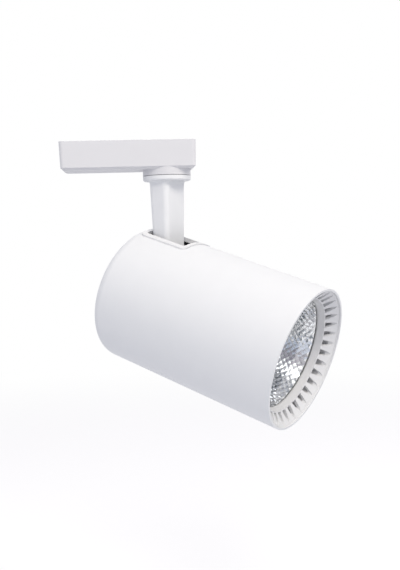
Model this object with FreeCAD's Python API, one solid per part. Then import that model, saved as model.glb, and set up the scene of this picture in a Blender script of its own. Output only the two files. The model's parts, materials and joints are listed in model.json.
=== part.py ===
import FreeCAD, Part
import math
import os

# Track spotlight with a cylindrical lamp head. Millimetres, +Z up.
# Origin: on the pan axis, at the adapter's face against the track. Adapter along X.

# ---------------------------------------------------------------- driving sizes
# clearances
FACE_GAP = 0.2          # between flat faces that slide past each other
RUN_GAP = 0.05          # radial gap of a shaft in its bush, and gap of a washer stack
FIT_GAP = 0.1           # gap of a part seated in its pocket
TINY = 0.01             # smaller than any feature

# adapter housing
ADAPTER_LEFT = 72.0     # from the pan axis to the long end
ADAPTER_RIGHT = 19.5    # from the pan axis to the short end
ADAPTER_WIDTH = 34.5
ADAPTER_HEIGHT = 19.0
ADAPTER_WALL = 1.8
ADAPTER_FLOOR = 2.0
ADAPTER_DRAFT = 0.5     # each side, over the whole height
ADAPTER_CORNER_R = 2.5
ADAPTER_BEVEL_HEIGHT = 1.5  # round the underside
ADAPTER_BEVEL_WIDTH = 2.0
COVER_THICK = 2.0
POST_R = 2.6
COVER_SCREW_R = 1.25
COVER_SCREW_HEAD_R = 2.3
COVER_SCREW_LENGTH = 8.0
COVER_SCREW_TIP_GAP = 1.0
COVER_SLOT_WIDTH = 0.6
COVER_SLOT_DEPTH = 0.5

# contact head that rises out of the adapter into the track
HEAD_X = 36.0           # from the pan axis to the middle of the head
HEAD_LENGTH = 37.6
HEAD_WIDTH = 14.2
HEAD_FLANGE_THICK = 1.5
HEAD_FLANGE_REACH = 1.6
HEAD_CORNER_R = 1.5
GUIDE_WALL = 1.5
GUIDE_DEPTH = 2.5       # below the cover plate
BLADE_LENGTH = 12.0
BLADE_HEIGHT = 7.0
BLADE_THICK = 0.8
BLADE_OFFSET = 11.0     # from the middle of the head, along it
BLADE_BELOW_KEY = 1.5
KEY_LENGTH = 22.0
KEY_WIDTH = 8.0
KEY_THICK = 1.6
KEY_SHAFT_R = 2.5
KEY_SHAFT_LENGTH = 9.0
KEY_SLOT_LENGTH = 6.0
KEY_SLOT_WIDTH = 1.0
KEY_SLOT_DEPTH = 0.8
TAB_WIDTH = 8.0
THUMB_WIDTH = 12.0
THUMB_HEIGHT = 4.5
THUMB_THICK = 1.6
THUMB_BELOW_TAB = 0.5
THUMB_GROOVES = 3
THUMB_GROOVE_DEPTH = 0.4

# terminal block and wires
TERMINAL_LENGTH = 11.0
TERMINAL_WIDTH = 13.0
TERMINAL_HEIGHT = 12.0
TERMINAL_SCREW_R = 1.8
TERMINAL_SCREW_LENGTH = 3.5
TERMINAL_SCREW_SUNK = 0.5
TERMINAL_SLOT_WIDTH = 0.5
TERMINAL_SLOT_DEPTH = 0.7
TERMINAL_END_GAP = 1.0
WIRE_R = 0.8
WIRE_SPACING = 2.6
WIRE_BEND_R = 2.5
WIRE_CLEARANCE = 0.4    # between wires side by side, and to the walls
WIRE_BELOW_COVER = 1.2

# swivel between adapter and neck
BOSS_R = 16.5
BOSS_HEIGHT = 4.1
SWIVEL_GAP = 0.35       # the thin dark line round the swivel
SHAFT_R = 6.0
SHAFT_BORE_R = 4.0
SHAFT_IN_NECK = 12.0
BUSH_WALL = 2.0
BUSH_FLANGE_R = 11.0
BUSH_FLANGE_THICK = 1.2
STOP_WASHER_R = 9.0
STOP_WASHER_THICK = 1.0
STOP_TAB_R = 14.6
STOP_TAB_WIDTH = 3.0
STOP_PEG_R = 1.5
STOP_PEG_AT = 13.0
STOP_PEG_HEIGHT = 3.0
WAVE_WASHER_R = 9.5
WAVE_WASHER_THICK = 1.0
NUT_ACROSS_FLATS = 17.0
NUT_HEIGHT = 4.0
SHAFT_PAST_NUT = 1.8
FRICTION_RING_IN = 9.0
FRICTION_RING_OUT = 13.0
FRICTION_RECESS = 1.0

# neck
FLANGE_R = 16.5
FLANGE_THICK = 3.3
FLANGE_ROUND = 1.2
NECK_TOP_LENGTH = 15.5  # along the lamp
NECK_TOP_WIDTH = 24.0   # across the lamp
NECK_LENGTH = 13.6
NECK_WIDTH = 22.5
NECK_CORNER_R = 3.5
NECK_FLARE = 1.0
NECK_FLARE_HEIGHT = 2.0
NECK_DROP = 64.1        # adapter's underside to the tilt pin
TAPER_END = 46.5        # adapter's underside to the end of the taper
PAN_REST = 37.0         # lamp turned from +X towards -Y
TILT_REST = 17.5        # nose down
TILT_DOWN_ANGLE = 19.5  # from level, where the neck meets the slot's rear end
TILT_UP_ANGLE = 26.0    # from level, where it meets the front end

# tilt pin stack, from the neck outwards
PIN_SHOULDER_R = 3.0
PIN_THREAD_R = 2.5
PIN_THREAD_LENGTH = 6.5
PIN_HEAD_R = 5.0
PIN_HEAD_THICK = 3.0
PIN_SOCKET_R = 2.0
PIN_WASHER_INSET = 0.4  # washer's edge to the neck's round foot
PIN_WASHER_THICK = 0.8
SPRING_WASHER_R = 5.0
SPRING_WASHER_THICK = 0.9

# tilt bracket
CHEEK_THICK = 2.0
CHEEK_HALF_LENGTH = 9.0
BRIDGE_BELOW = 10.0     # pin to the bridge's upper face
BRACKET_SCREW_S = 6.0
BRACKET_BOSS_R = 3.5
BRACKET_WIRE_HOLE_R = 5.0
M3_R = 1.5
M3_HEAD_R = 2.75
M3_HEAD_THICK = 2.4
M3_SOCKET_R = 1.2
M3_SOCKET_DEPTH = 1.3
M3_GRIP = 2.0           # thread in the part that is screwed into
M3_TIP_GAP = 1.0

# lamp shell
LAMP_R = 47.5
LAMP_WALL = 2.0
LAMP_FRONT = 117.0      # pin to front rim
LAMP_REAR = 24.0        # pin to rear face
REAR_WALL = 2.5
REAR_ROUND = 8.0
PIN_BELOW_SKIN = 19.0   # pin to the shell's outside
LIP_WIDTH = 1.4
LIP_DEPTH = 1.4
SEAT_BORE_DEPTH = 22.0  # front rim to the shoulder behind the bezel
CLIP_GROOVE_DEPTH = 0.6

# slot trim
SLOT_SIDE_GAP = 3.0     # neck to the slot's sides
SLOT_END_GAP = 0.3      # neck to the slot's ends, at the limits of the tilt
TRIM_END_STRIP = 2.5
TRIM_SIDE_STRIP = 3.5
TRIM_COLLAR_WALL = 1.0
TRIM_PROUD = 0.8
TRIM_SUNK = 0.6
TRIM_GROOVE = 0.35
SLOT_CORNER_R = 2.0
TRIM_CORNER_R = 3.5

# heat sink
SINK_FACE_S = 46.0      # pin to the face that carries the LED
SINK_PLATE_THICK = 6.0
FIN_COUNT = 18
FIN_THICK = 1.8
FIN_LENGTH = 18.0
FIN_INNER_R = 11.0
FIN_ROOT = 1.0          # fins sunk into the hub
FIN_END_GAP = 9.5       # fins to the shell
SINK_BOSS_COUNT = 3
SINK_BOSS_R = 4.0
SINK_BOSS_INSET = 3.5   # boss axis to the shell's bore
SINK_BOSS_LENGTH = 20.0
SINK_SCREW_INSET = 4.5
SINK_SCREW_GRIP = 5.0
SINK_VENT_COUNT = 24
SINK_VENT_R = 2.0
SINK_VENT_INSET = 12.5

# LED
LED_SIDE = 24.0
LED_PAD_THICK = 0.5
BOARD_THICK = 1.5
PHOSPHOR_R = 8.5
PHOSPHOR_THICK = 0.7
HOLDER_R = 22.0
HOLDER_THICK = 5.0
HOLDER_OPENING_R = 10.5
HOLDER_SCREW_AT = 18.0

# bezel
BEZEL_CONE_WIDTH = 7.2  # radial
BEZEL_CONE_IN_DEPTH = 7.7
BEZEL_WALL = 2.0
BEZEL_SKIRT_WALL = 1.4
BEZEL_LAND = 0.6
OPENING_INSET = 1.8     # cone's inner edge to the opening, radially
OPENING_DEPTH = 12.0
OPENING_FLANGE = 0.6
COLLAR_OUTSET = 2.2     # cone's inner edge to the collar's outside
COLLAR_WALL = 1.0
VENT_COUNT = 36
VENT_WIDTH = 4.3        # at the cone's foot
VENT_END_WIDTH = 2.4    # where the hole ends
VENT_HOLE_LENGTH = 5.3  # radial
VENT_LENGTH = 6.8
VENT_DEPTH = 2.2
CLIP_COUNT = 3
CLIP_WIDTH = 6.0
CLIP_LENGTH = 10.0
CLIP_THICK = 0.6
CLIP_HOOK = 1.6
CLIP_GROOVE_WIDTH = 2.0
CLIP_GROOVE_LIFT = 2.0  # shoulder to the groove

# optics
GASKET_THICK = 0.3
GLASS_THICK = 1.5
REFLECTOR_WALL = 1.0
REFLECTOR_MOUTH_OUTSET = 0.6  # past the opening
REFLECTOR_STEPS = 8
RETAINER_THICK = 1.6
RETAINER_WIDTH = 1.5

# driver
DRIVER_REAR_S = -19.0
DRIVER_FRONT_S = 18.0
DRIVER_SIDE_GAP = 4.2   # case to the shell, at the case's lower corners
DRIVER_BELOW_GAP = 11.5  # case to the shell's lowest line
DRIVER_HEIGHT = 20.0
DRIVER_WALL = 1.6
DRIVER_LID_THICK = 2.0
DRIVER_RAIL_N = 20.0
DRIVER_RAIL_WIDTH = 6.0
DRIVER_SCREW_S = 8.0
DRIVER_SCREW_GRIP = 4.0
DRIVER_POST_INSET = 4.0
DRIVER_BOARD_LIFT = 5.0
DRIVER_BOARD_THICK = 1.6
DRIVER_POST_R = 2.0
TRANSFORMER_SIDE = 13.0
TRANSFORMER_HEIGHT = 8.0
TRANSFORMER_SIDE_GAP = 6.3  # to the board's edge
CAPACITOR_R = 3.6
CAPACITOR_LENGTH = 12.0
CAPACITOR_SIDE_GAP = 4.3
CAPACITOR_SPACING = 9.2
LED_WIRE_LIFT = 7.0     # above the case's underside
WIRE_PAIR_SPACING = 2.0
LED_WIRE_BEND_R = 2.0
MAINS_WIRE_GAP = 1.0    # wire ends to the bracket
WIRE_HOLE_R = 2.6
GROMMET_LENGTH = 4.0

# ---------------------------------------------------------------- derived levels
UNDERSIDE = -ADAPTER_HEIGHT
FLOOR_TOP = UNDERSIDE + ADAPTER_FLOOR
BOSS_BOTTOM = UNDERSIDE - BOSS_HEIGHT
FLANGE_TOP = BOSS_BOTTOM - SWIVEL_GAP
FLANGE_BOTTOM = FLANGE_TOP - FLANGE_THICK
PIN_Z = UNDERSIDE - NECK_DROP
BUSH_TOP = FLOOR_TOP + BUSH_FLANGE_THICK
STOP_BOTTOM = BUSH_TOP + RUN_GAP
STOP_TOP = STOP_BOTTOM + STOP_WASHER_THICK
NUT_BOTTOM = STOP_TOP + WAVE_WASHER_THICK
NUT_TOP = NUT_BOTTOM + NUT_HEIGHT
SHAFT_TOP = NUT_TOP + SHAFT_PAST_NUT
HEAD_TOP = -FACE_GAP
HEAD_BOTTOM = FLOOR_TOP + FACE_GAP
GUIDE_BOTTOM = -COVER_THICK - GUIDE_DEPTH
BORE_R = LAMP_R - LAMP_WALL
SEAT_R = LAMP_R - LIP_WIDTH
PIN_ABOVE_AXIS = LAMP_R - PIN_BELOW_SKIN
BEZEL_R = SEAT_R - FIT_GAP
BEZEL_CONE_IN_R = BEZEL_R - BEZEL_CONE_WIDTH
OPENING_R = BEZEL_CONE_IN_R - OPENING_INSET
COLLAR_R = BEZEL_CONE_IN_R + COLLAR_OUTSET
VENT_HOLE_OUT_R = BEZEL_CONE_IN_R + VENT_HOLE_LENGTH
VENT_TIP_R = BEZEL_CONE_IN_R + VENT_LENGTH
REFLECTOR_MOUTH_R = OPENING_R + REFLECTOR_MOUTH_OUTSET
SINK_BOSS_AT = BORE_R - SINK_BOSS_INSET
SINK_SCREW_AT = BORE_R - SINK_SCREW_INSET
SINK_VENT_AT = BORE_R - SINK_VENT_INSET
FIN_OUTER_R = BORE_R - FIN_END_GAP
DRIVER_BOTTOM = BORE_R - DRIVER_BELOW_GAP
DRIVER_HALF_WIDTH = math.sqrt(BORE_R ** 2 - DRIVER_BOTTOM ** 2) - DRIVER_SIDE_GAP
LED_WIRE_BELOW = DRIVER_BOTTOM - LED_WIRE_LIFT
PIN_WASHER_R = NECK_LENGTH / 2 - PIN_WASHER_INSET
CHEEK_IN = NECK_WIDTH / 2 + PIN_WASHER_THICK + RUN_GAP
CHEEK_OUT = CHEEK_IN + CHEEK_THICK
SPRING_WASHER_IN = CHEEK_OUT + RUN_GAP
PIN_HEAD_IN = SPRING_WASHER_IN + SPRING_WASHER_THICK
CAVITY_INSET = ADAPTER_WALL + ADAPTER_DRAFT


def slot_end(tilt):
    """Pin to one end of the slot, along the lamp, from the tilt at which the neck meets it."""
    angle = math.radians(tilt)
    return ((PIN_BELOW_SKIN + TRIM_PROUD) * math.tan(angle) + NECK_LENGTH / 2 / math.cos(angle)
            + SLOT_END_GAP)


SLOT_FRONT = slot_end(TILT_UP_ANGLE)
SLOT_REAR = slot_end(TILT_DOWN_ANGLE)
SLOT_WIDTH = NECK_WIDTH + 2 * SLOT_SIDE_GAP
BRACKET_SCREW_N = SLOT_WIDTH / 2 + TRIM_COLLAR_WALL + BRACKET_BOSS_R + FACE_GAP
TAB_END = BRACKET_SCREW_N + BRACKET_BOSS_R
CHEEK_TOP = math.sqrt(BORE_R ** 2 - TAB_END ** 2) - PIN_ABOVE_AXIS - FACE_GAP

X_AXIS = FreeCAD.Vector(1, 0, 0)
Y_AXIS = FreeCAD.Vector(0, 1, 0)
Z_AXIS = FreeCAD.Vector(0, 0, 1)
ORIGIN = FreeCAD.Vector(0, 0, 0)

PAN_TURN = FreeCAD.Rotation(Z_AXIS, -PAN_REST)
TILT_TURN = FreeCAD.Rotation(Y_AXIS, TILT_REST)
NECK_PLACE = FreeCAD.Placement(ORIGIN, PAN_TURN)
LAMP_PLACE = FreeCAD.Placement(FreeCAD.Vector(0, 0, PIN_Z), PAN_TURN.multiply(TILT_TURN))

# ---------------------------------------------------------------- helpers


def vec(x, y, z):
    return FreeCAD.Vector(x, y, z)


def box(x0, x1, y0, y1, z0, z1):
    """Box between two corners."""
    return Part.makeBox(x1 - x0, y1 - y0, z1 - z0, vec(x0, y0, z0))


def rod(radius, start, end):
    """Cylinder from one point to another."""
    axis = end.sub(start)
    return Part.makeCylinder(radius, axis.Length, start, axis)


def upright(radius, x, y, z0, z1):
    """Cylinder along Z."""
    return rod(radius, vec(x, y, z0), vec(x, y, z1))


def ring(outer, inner, z0, z1):
    """Flat ring about the Z axis."""
    return upright(outer, 0, 0, z0, z1).cut(upright(inner, 0, 0, z0 - 1, z1 + 1))


def fuse_all(shapes):
    """One solid from several that meet."""
    return shapes[0].multiFuse(shapes[1:]).removeSplitter()


def rounded_outline(x0, x1, y0, y1, radius, z):
    """Closed wire of a rectangle with round corners, in a plane of constant Z."""
    edges = []
    corners = [(x1, y0, -90), (x1, y1, 0), (x0, y1, 90), (x0, y0, 180)]
    arcs = []
    for cx, cy, start in corners:
        centre = vec(cx - math.copysign(radius, cx - (x0 + x1) / 2),
                     cy - math.copysign(radius, cy - (y0 + y1) / 2), z)
        arcs.append(Part.makeCircle(radius, centre, Z_AXIS, start, start + 90))
    for index, arc in enumerate(arcs):
        following = arcs[(index + 1) % len(arcs)]
        edges.append(arc)
        edges.append(Part.makeLine(arc.Vertexes[-1].Point, following.Vertexes[0].Point))
    return Part.Wire(edges)


def rounded_block(x0, x1, y0, y1, radius, z0, z1):
    """Upright block with round vertical corners."""
    face = Part.Face(rounded_outline(x0, x1, y0, y1, radius, z0))
    return face.extrude(vec(0, 0, z1 - z0))


def tapered_block(lower, upper):
    """Block lofted between two outlines, each (x0, x1, y0, y1, radius, z)."""
    return Part.makeLoft([rounded_outline(*lower), rounded_outline(*upper)], True, True)


def turned(points, axis_point, axis):
    """Solid of revolution of a closed outline of points; a triple is an arc's middle and end."""
    edges = []
    here = points[0]
    for item in points[1:] + [points[0]]:
        if isinstance(item, tuple):
            middle, end = item
            edges.append(Part.Arc(here, middle, end).toShape())
            here = end
        else:
            if item.sub(here).Length > 0:
                edges.append(Part.makeLine(here, item))
            here = item
    return Part.Face(Part.Wire(edges)).revolve(axis_point, axis, 360)


def lamp_point(s, r):
    """Point in the lamp's section plane: s along its axis from the pin, r from its axis."""
    return vec(s, 0, r - PIN_ABOVE_AXIS)


def lamp_turned(outline):
    """Solid of revolution about the lamp's axis, from (s, r) pairs and ((s, r), (s, r)) arcs."""
    points = []
    for item in outline:
        if isinstance(item[0], tuple):
            points.append((lamp_point(*item[0]), lamp_point(*item[1])))
        else:
            points.append(lamp_point(*item))
    return turned(points, lamp_point(0, 0), X_AXIS)


def lamp_disc(radius, s0, s1):
    """Disc about the lamp's axis."""
    return rod(radius, lamp_point(s0, 0), lamp_point(s1, 0))


def lamp_ring(outer, inner, s0, s1):
    """Ring about the lamp's axis."""
    return lamp_disc(outer, s0, s1).cut(lamp_disc(inner, s0 - 1, s1 + 1))


def about_lamp(shape, angle):
    """Copy of a shape turned about the lamp's axis."""
    copy = shape.copy()
    copy.rotate(lamp_point(0, 0), X_AXIS, angle)
    return copy


def around_lamp(shape, count, start=0.0):
    """Copies of a shape spaced evenly about the lamp's axis."""
    return [about_lamp(shape, start + 360.0 * index / count) for index in range(count)]


def hexagon(across_flats, z0, z1):
    """Upright hexagonal prism on the Z axis."""
    corner_r = across_flats / 2 / math.cos(math.pi / 6)
    points = []
    for index in range(7):
        angle = math.radians(60 * index)
        points.append(vec(corner_r * math.cos(angle), corner_r * math.sin(angle), z0))
    return Part.Face(Part.makePolygon(points)).extrude(vec(0, 0, z1 - z0))


def wire_tube(points, radius, bend_r):
    """Round wire along straight runs joined by tangent arcs."""
    edges = []
    here = points[0]
    for before, corner, after in zip(points, points[1:], points[2:]):
        into = corner.sub(before).normalize()
        out = after.sub(corner).normalize()
        turn = into.getAngle(out)
        reach = bend_r * math.tan(turn / 2)
        start = corner.sub(into * reach)
        end = corner.add(out * reach)
        inward = out.sub(into).normalize()
        middle = corner.add(inward * (bend_r / math.cos(turn / 2) - bend_r))
        edges.append(Part.makeLine(here, start))
        edges.append(Part.Arc(start, middle, end).toShape())
        here = end
    edges.append(Part.makeLine(here, points[-1]))
    first = points[1].sub(points[0])
    profile = Part.Wire(Part.makeCircle(radius, points[0], first))
    return Part.Wire(edges).makePipeShell([profile], True, False)


def machine_screw(seat, direction, length, thread_r, head_r, head_thick, socket_r, socket_depth):
    """Cap screw: seat is the point under its head, direction points along its thread."""
    head_end = seat.sub(direction * head_thick)
    thread = rod(thread_r, seat, seat.add(direction * length))
    head = rod(head_r, head_end, seat)
    socket = rod(socket_r, head_end, head_end.add(direction * socket_depth))
    return thread.fuse(head).removeSplitter().cut(socket)


def m3_screw(seat, direction, length):
    """M3 cap screw."""
    return machine_screw(seat, direction, length, M3_R, M3_HEAD_R, M3_HEAD_THICK,
                         M3_SOCKET_R, M3_SOCKET_DEPTH)


# ---------------------------------------------------------------- adapter


def cover_screw_places():
    """Centres of the four posts in the adapter's corners."""
    reach = CAVITY_INSET + POST_R
    half = ADAPTER_WIDTH / 2 - reach
    return [(x, y) for x in (-ADAPTER_LEFT + reach, ADAPTER_RIGHT - reach) for y in (-half, half)]


def adapter_outline(inset, z):
    """Arguments of the adapter's outline, drawn in by an inset."""
    half = ADAPTER_WIDTH / 2 - inset
    return (-ADAPTER_LEFT + inset, ADAPTER_RIGHT - inset, -half, half, ADAPTER_CORNER_R, z)


def tab_slot():
    """Opening in the back wall for the thumb slide."""
    half = TAB_WIDTH / 2 + FACE_GAP
    return box(-HEAD_X - half, -HEAD_X + half, ADAPTER_WIDTH / 2 - 2 * CAVITY_INSET,
               ADAPTER_WIDTH / 2 + 1, FLOOR_TOP, GUIDE_BOTTOM)


def make_adapter_housing():
    """Tray under the track, with the swivel boss under its short end."""
    bevel_top = adapter_outline(ADAPTER_DRAFT, UNDERSIDE + ADAPTER_BEVEL_HEIGHT)
    bevel_foot = adapter_outline(ADAPTER_DRAFT + ADAPTER_BEVEL_WIDTH, UNDERSIDE)
    body = tapered_block(bevel_top, adapter_outline(0, 0)).fuse(tapered_block(bevel_foot, bevel_top))
    body = body.cut(rounded_block(*adapter_outline(CAVITY_INSET, 0)[:5], FLOOR_TOP, 1))
    posts = [upright(POST_R, x, y, FLOOR_TOP - 1, -COVER_THICK) for x, y in cover_screw_places()]
    corners = [box(min(x, x + math.copysign(POST_R, x)), max(x, x + math.copysign(POST_R, x)),
                   min(y, y + math.copysign(POST_R, y)), max(y, y + math.copysign(POST_R, y)),
                   FLOOR_TOP - 1, -COVER_THICK)
               for x, y in cover_screw_places()]
    envelope = rounded_block(*adapter_outline(ADAPTER_WALL, 0)[:5], FLOOR_TOP - 1, -COVER_THICK)
    corners = [corner.common(envelope) for corner in corners]
    boss = upright(BOSS_R, 0, 0, BOSS_BOTTOM, UNDERSIDE + ADAPTER_BEVEL_HEIGHT)
    peg = upright(STOP_PEG_R, -STOP_PEG_AT, 0, FLOOR_TOP - 1, FLOOR_TOP + STOP_PEG_HEIGHT)
    body = fuse_all([body, boss, peg] + posts + corners)
    bush_hole = upright(SHAFT_R + RUN_GAP + BUSH_WALL, 0, 0, BOSS_BOTTOM - 1, FLOOR_TOP + 1)
    hole_bottom = -COVER_THICK - COVER_SCREW_LENGTH - COVER_SCREW_TIP_GAP
    screw_holes = [upright(COVER_SCREW_R, x, y, hole_bottom, 0) for x, y in cover_screw_places()]
    return body.cut([bush_hole, tab_slot()] + screw_holes)


def guide_outline(gap):
    """Arguments of the contact head's outline, grown by a gap."""
    half_l = HEAD_LENGTH / 2 + gap
    half_w = HEAD_WIDTH / 2 + gap
    return (-HEAD_X - half_l, -HEAD_X + half_l, -half_w, half_w, HEAD_CORNER_R + gap)


def make_adapter_cover():
    """Plate flush with the adapter's top, with the guide of the contact head."""
    plate = rounded_block(*adapter_outline(CAVITY_INSET + FIT_GAP, 0)[:5], -COVER_THICK, 0)
    collar = rounded_block(*guide_outline(FACE_GAP + GUIDE_WALL), GUIDE_BOTTOM, -COVER_THICK)
    body = plate.fuse(collar).removeSplitter()
    opening = rounded_block(*guide_outline(FACE_GAP), GUIDE_BOTTOM - 1, 1)
    cuts = [opening]
    for x, y in cover_screw_places():
        cuts.append(upright(COVER_SCREW_R + FIT_GAP, x, y, -COVER_THICK - 1, 1))
        cuts.append(Part.makeCone(COVER_SCREW_R + FIT_GAP, COVER_SCREW_HEAD_R + FIT_GAP,
                                  COVER_SCREW_HEAD_R - COVER_SCREW_R,
                                  vec(x, y, COVER_SCREW_R - COVER_SCREW_HEAD_R)))
    return body.cut(cuts)


def make_cover_screws():
    """Countersunk screws that hold the cover."""
    screws = []
    head_thick = COVER_SCREW_HEAD_R - COVER_SCREW_R
    for x, y in cover_screw_places():
        thread = upright(COVER_SCREW_R, x, y, -COVER_THICK - COVER_SCREW_LENGTH, -head_thick)
        head = Part.makeCone(COVER_SCREW_R, COVER_SCREW_HEAD_R, head_thick, vec(x, y, -head_thick))
        slot = box(x - COVER_SCREW_HEAD_R, x + COVER_SCREW_HEAD_R, y - COVER_SLOT_WIDTH / 2,
                   y + COVER_SLOT_WIDTH / 2, -COVER_SLOT_DEPTH, 1)
        screws.append(thread.fuse(head).removeSplitter().cut(slot))
    return Part.makeCompound(screws)


def stadium(length, width, z0, z1):
    """Upright prism with round ends, along X, in the middle of the contact head."""
    return rounded_block(-HEAD_X - length / 2, -HEAD_X + length / 2, -width / 2, width / 2,
                         width / 2 - TINY, z0, z1)


def blade_boxes(extra_thick, extra):
    """Boxes of the two contact blades, on opposite sides of the head."""
    boxes = []
    top = HEAD_TOP - KEY_THICK - BLADE_BELOW_KEY
    for side in (-1, 1):
        centre = -HEAD_X + side * BLADE_OFFSET
        face = side * (HEAD_WIDTH / 2 - FIT_GAP + extra_thick)
        root = side * (HEAD_WIDTH / 2 - FIT_GAP - BLADE_THICK)
        boxes.append(box(centre - BLADE_LENGTH / 2 - extra, centre + BLADE_LENGTH / 2 + extra,
                         min(face, root), max(face, root), top - BLADE_HEIGHT - extra, top + extra))
    return boxes


def make_contact_head():
    """Block that rises into the track, with pockets for the key and the blades."""
    body = rounded_block(*guide_outline(0), HEAD_BOTTOM, HEAD_TOP)
    flange = rounded_block(*guide_outline(HEAD_FLANGE_REACH), HEAD_BOTTOM,
                           HEAD_BOTTOM + HEAD_FLANGE_THICK)
    body = body.fuse(flange).removeSplitter()
    pocket_bottom = HEAD_TOP - KEY_THICK - FACE_GAP
    centre = vec(-HEAD_X, 0, pocket_bottom)
    sweep_r = KEY_LENGTH / 2 + FACE_GAP
    cuts = [stadium(KEY_LENGTH + 2 * FACE_GAP, KEY_WIDTH + 2 * FACE_GAP, pocket_bottom, 1)]
    turned_key = cuts[0].copy()
    turned_key.rotate(centre, Z_AXIS, 90)
    cuts.append(turned_key)
    for start in (0, 180):
        sector = Part.makeCylinder(sweep_r, 1 - pocket_bottom, centre, Z_AXIS, 90)
        sector.rotate(centre, Z_AXIS, start)
        cuts.append(sector)
    shaft_bottom = pocket_bottom - KEY_SHAFT_LENGTH
    cuts.append(upright(KEY_SHAFT_R + RUN_GAP, -HEAD_X, 0, shaft_bottom, 1))
    return body.cut(cuts + blade_boxes(1, 0))


def make_contact_blades():
    """Two copper blades in the sides of the contact head."""
    return Part.makeCompound(blade_boxes(0, 0))


def make_lock_key():
    """Steel key that turns across the track's slot."""
    bottom = HEAD_TOP - KEY_THICK - FIT_GAP
    plate = stadium(KEY_LENGTH, KEY_WIDTH, bottom, HEAD_TOP - FIT_GAP)
    shaft = upright(KEY_SHAFT_R, -HEAD_X, 0, bottom - KEY_SHAFT_LENGTH + FACE_GAP, bottom)
    slot = box(-HEAD_X - KEY_SLOT_LENGTH / 2, -HEAD_X + KEY_SLOT_LENGTH / 2, -KEY_SLOT_WIDTH / 2,
               KEY_SLOT_WIDTH / 2, HEAD_TOP - FIT_GAP - KEY_SLOT_DEPTH, 0)
    return plate.fuse(shaft).removeSplitter().cut(slot)


def make_thumb_slide():
    """Tab through the back wall that lifts the contact head."""
    inner = HEAD_WIDTH / 2 + HEAD_FLANGE_REACH
    outer = ADAPTER_WIDTH / 2 + FACE_GAP
    arm = box(-HEAD_X - TAB_WIDTH / 2, -HEAD_X + TAB_WIDTH / 2, inner, outer + THUMB_THICK / 2,
              HEAD_BOTTOM, HEAD_BOTTOM + HEAD_FLANGE_THICK)
    pad_bottom = HEAD_BOTTOM - THUMB_BELOW_TAB
    pad = rounded_block(-HEAD_X - THUMB_WIDTH / 2, -HEAD_X + THUMB_WIDTH / 2, outer,
                        outer + THUMB_THICK, THUMB_THICK / 3, pad_bottom, pad_bottom + THUMB_HEIGHT)
    cuts = []
    pitch = THUMB_HEIGHT / (THUMB_GROOVES + 1)
    face = outer + THUMB_THICK
    for index in range(THUMB_GROOVES):
        z = pad_bottom + pitch * (index + 1)
        cuts.append(box(-HEAD_X - THUMB_WIDTH, -HEAD_X + THUMB_WIDTH, face - THUMB_GROOVE_DEPTH,
                        face + 1, z - pitch / 5, z + pitch / 5))
    return arm.fuse(pad).removeSplitter().cut(cuts)


def terminal_box():
    """Corner values of the terminal block."""
    left = -ADAPTER_LEFT + CAVITY_INSET + TERMINAL_END_GAP
    return left, left + TERMINAL_LENGTH


def make_terminal_block():
    """Two-way terminal block on the adapter's floor."""
    left, right = terminal_box()
    half = TERMINAL_WIDTH / 2
    top = FLOOR_TOP + TERMINAL_HEIGHT
    body = box(left, right, -half, half, FLOOR_TOP, top)
    cuts = []
    for y in (-half / 2, half / 2):
        cuts.append(upright(TERMINAL_SCREW_R + FIT_GAP, (left + right) / 2, y,
                            top - TERMINAL_SCREW_SUNK - TERMINAL_SCREW_LENGTH, top + 1))
    return body.cut(cuts)


def make_terminal_screws():
    """Clamp screws of the terminal block."""
    left, right = terminal_box()
    head = FLOOR_TOP + TERMINAL_HEIGHT - TERMINAL_SCREW_SUNK
    reach = TERMINAL_SCREW_R + FIT_GAP
    half = TERMINAL_SLOT_WIDTH / 2
    screws = []
    for y in (-TERMINAL_WIDTH / 4, TERMINAL_WIDTH / 4):
        x = (left + right) / 2
        screw = upright(TERMINAL_SCREW_R, x, y, head - TERMINAL_SCREW_LENGTH, head)
        screws.append(screw.cut(box(x - reach, x + reach, y - half, y + half,
                                    head - TERMINAL_SLOT_DEPTH, head)))
    return Part.makeCompound(screws)


def make_adapter_wires():
    """Two wires from the terminal block, past the contact head, down into the swivel shaft."""
    right = terminal_box()[1]
    wires = []
    level = -COVER_THICK - WIRE_R - WIRE_BELOW_COVER
    outer_lane = ADAPTER_WIDTH / 2 - CAVITY_INSET - WIRE_R - WIRE_CLEARANCE
    for index, side in enumerate((-1, 1)):
        lane = -outer_lane + (1 - index) * (2 * WIRE_R + WIRE_CLEARANCE)
        start_x = right - WIRE_SPACING * (1 + index)
        entry = side * WIRE_SPACING / 2
        points = [vec(start_x, -TERMINAL_WIDTH / 2, level), vec(start_x, lane, level),
                  vec(entry, lane, level), vec(entry, 0, level), vec(entry, 0, FLANGE_BOTTOM)]
        wires.append(wire_tube(points, WIRE_R, WIRE_BEND_R))
    return Part.makeCompound(wires)


# ---------------------------------------------------------------- swivel


def make_swivel_bush():
    """Flanged bush pressed into the boss."""
    inner = SHAFT_R + RUN_GAP
    sleeve = ring(inner + BUSH_WALL, inner, BOSS_BOTTOM, FLOOR_TOP)
    flange = ring(BUSH_FLANGE_R, inner, FLOOR_TOP, BUSH_TOP)
    return sleeve.fuse(flange).removeSplitter()


def make_swivel_shaft():
    """Hollow threaded shaft screwed into the neck."""
    return ring(SHAFT_R, SHAFT_BORE_R, FLANGE_TOP - SHAFT_IN_NECK, SHAFT_TOP)


def make_stop_washer():
    """Washer keyed to the shaft; its tab meets the peg at the ends of the swivel."""
    disc = upright(STOP_WASHER_R, 0, 0, STOP_BOTTOM, STOP_TOP)
    tab = box(0, STOP_TAB_R, -STOP_TAB_WIDTH / 2, STOP_TAB_WIDTH / 2, STOP_BOTTOM, STOP_TOP)
    hole = upright(SHAFT_R, 0, 0, STOP_BOTTOM - 1, STOP_TOP + 1)
    return disc.fuse(tab).removeSplitter().cut(hole)


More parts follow.
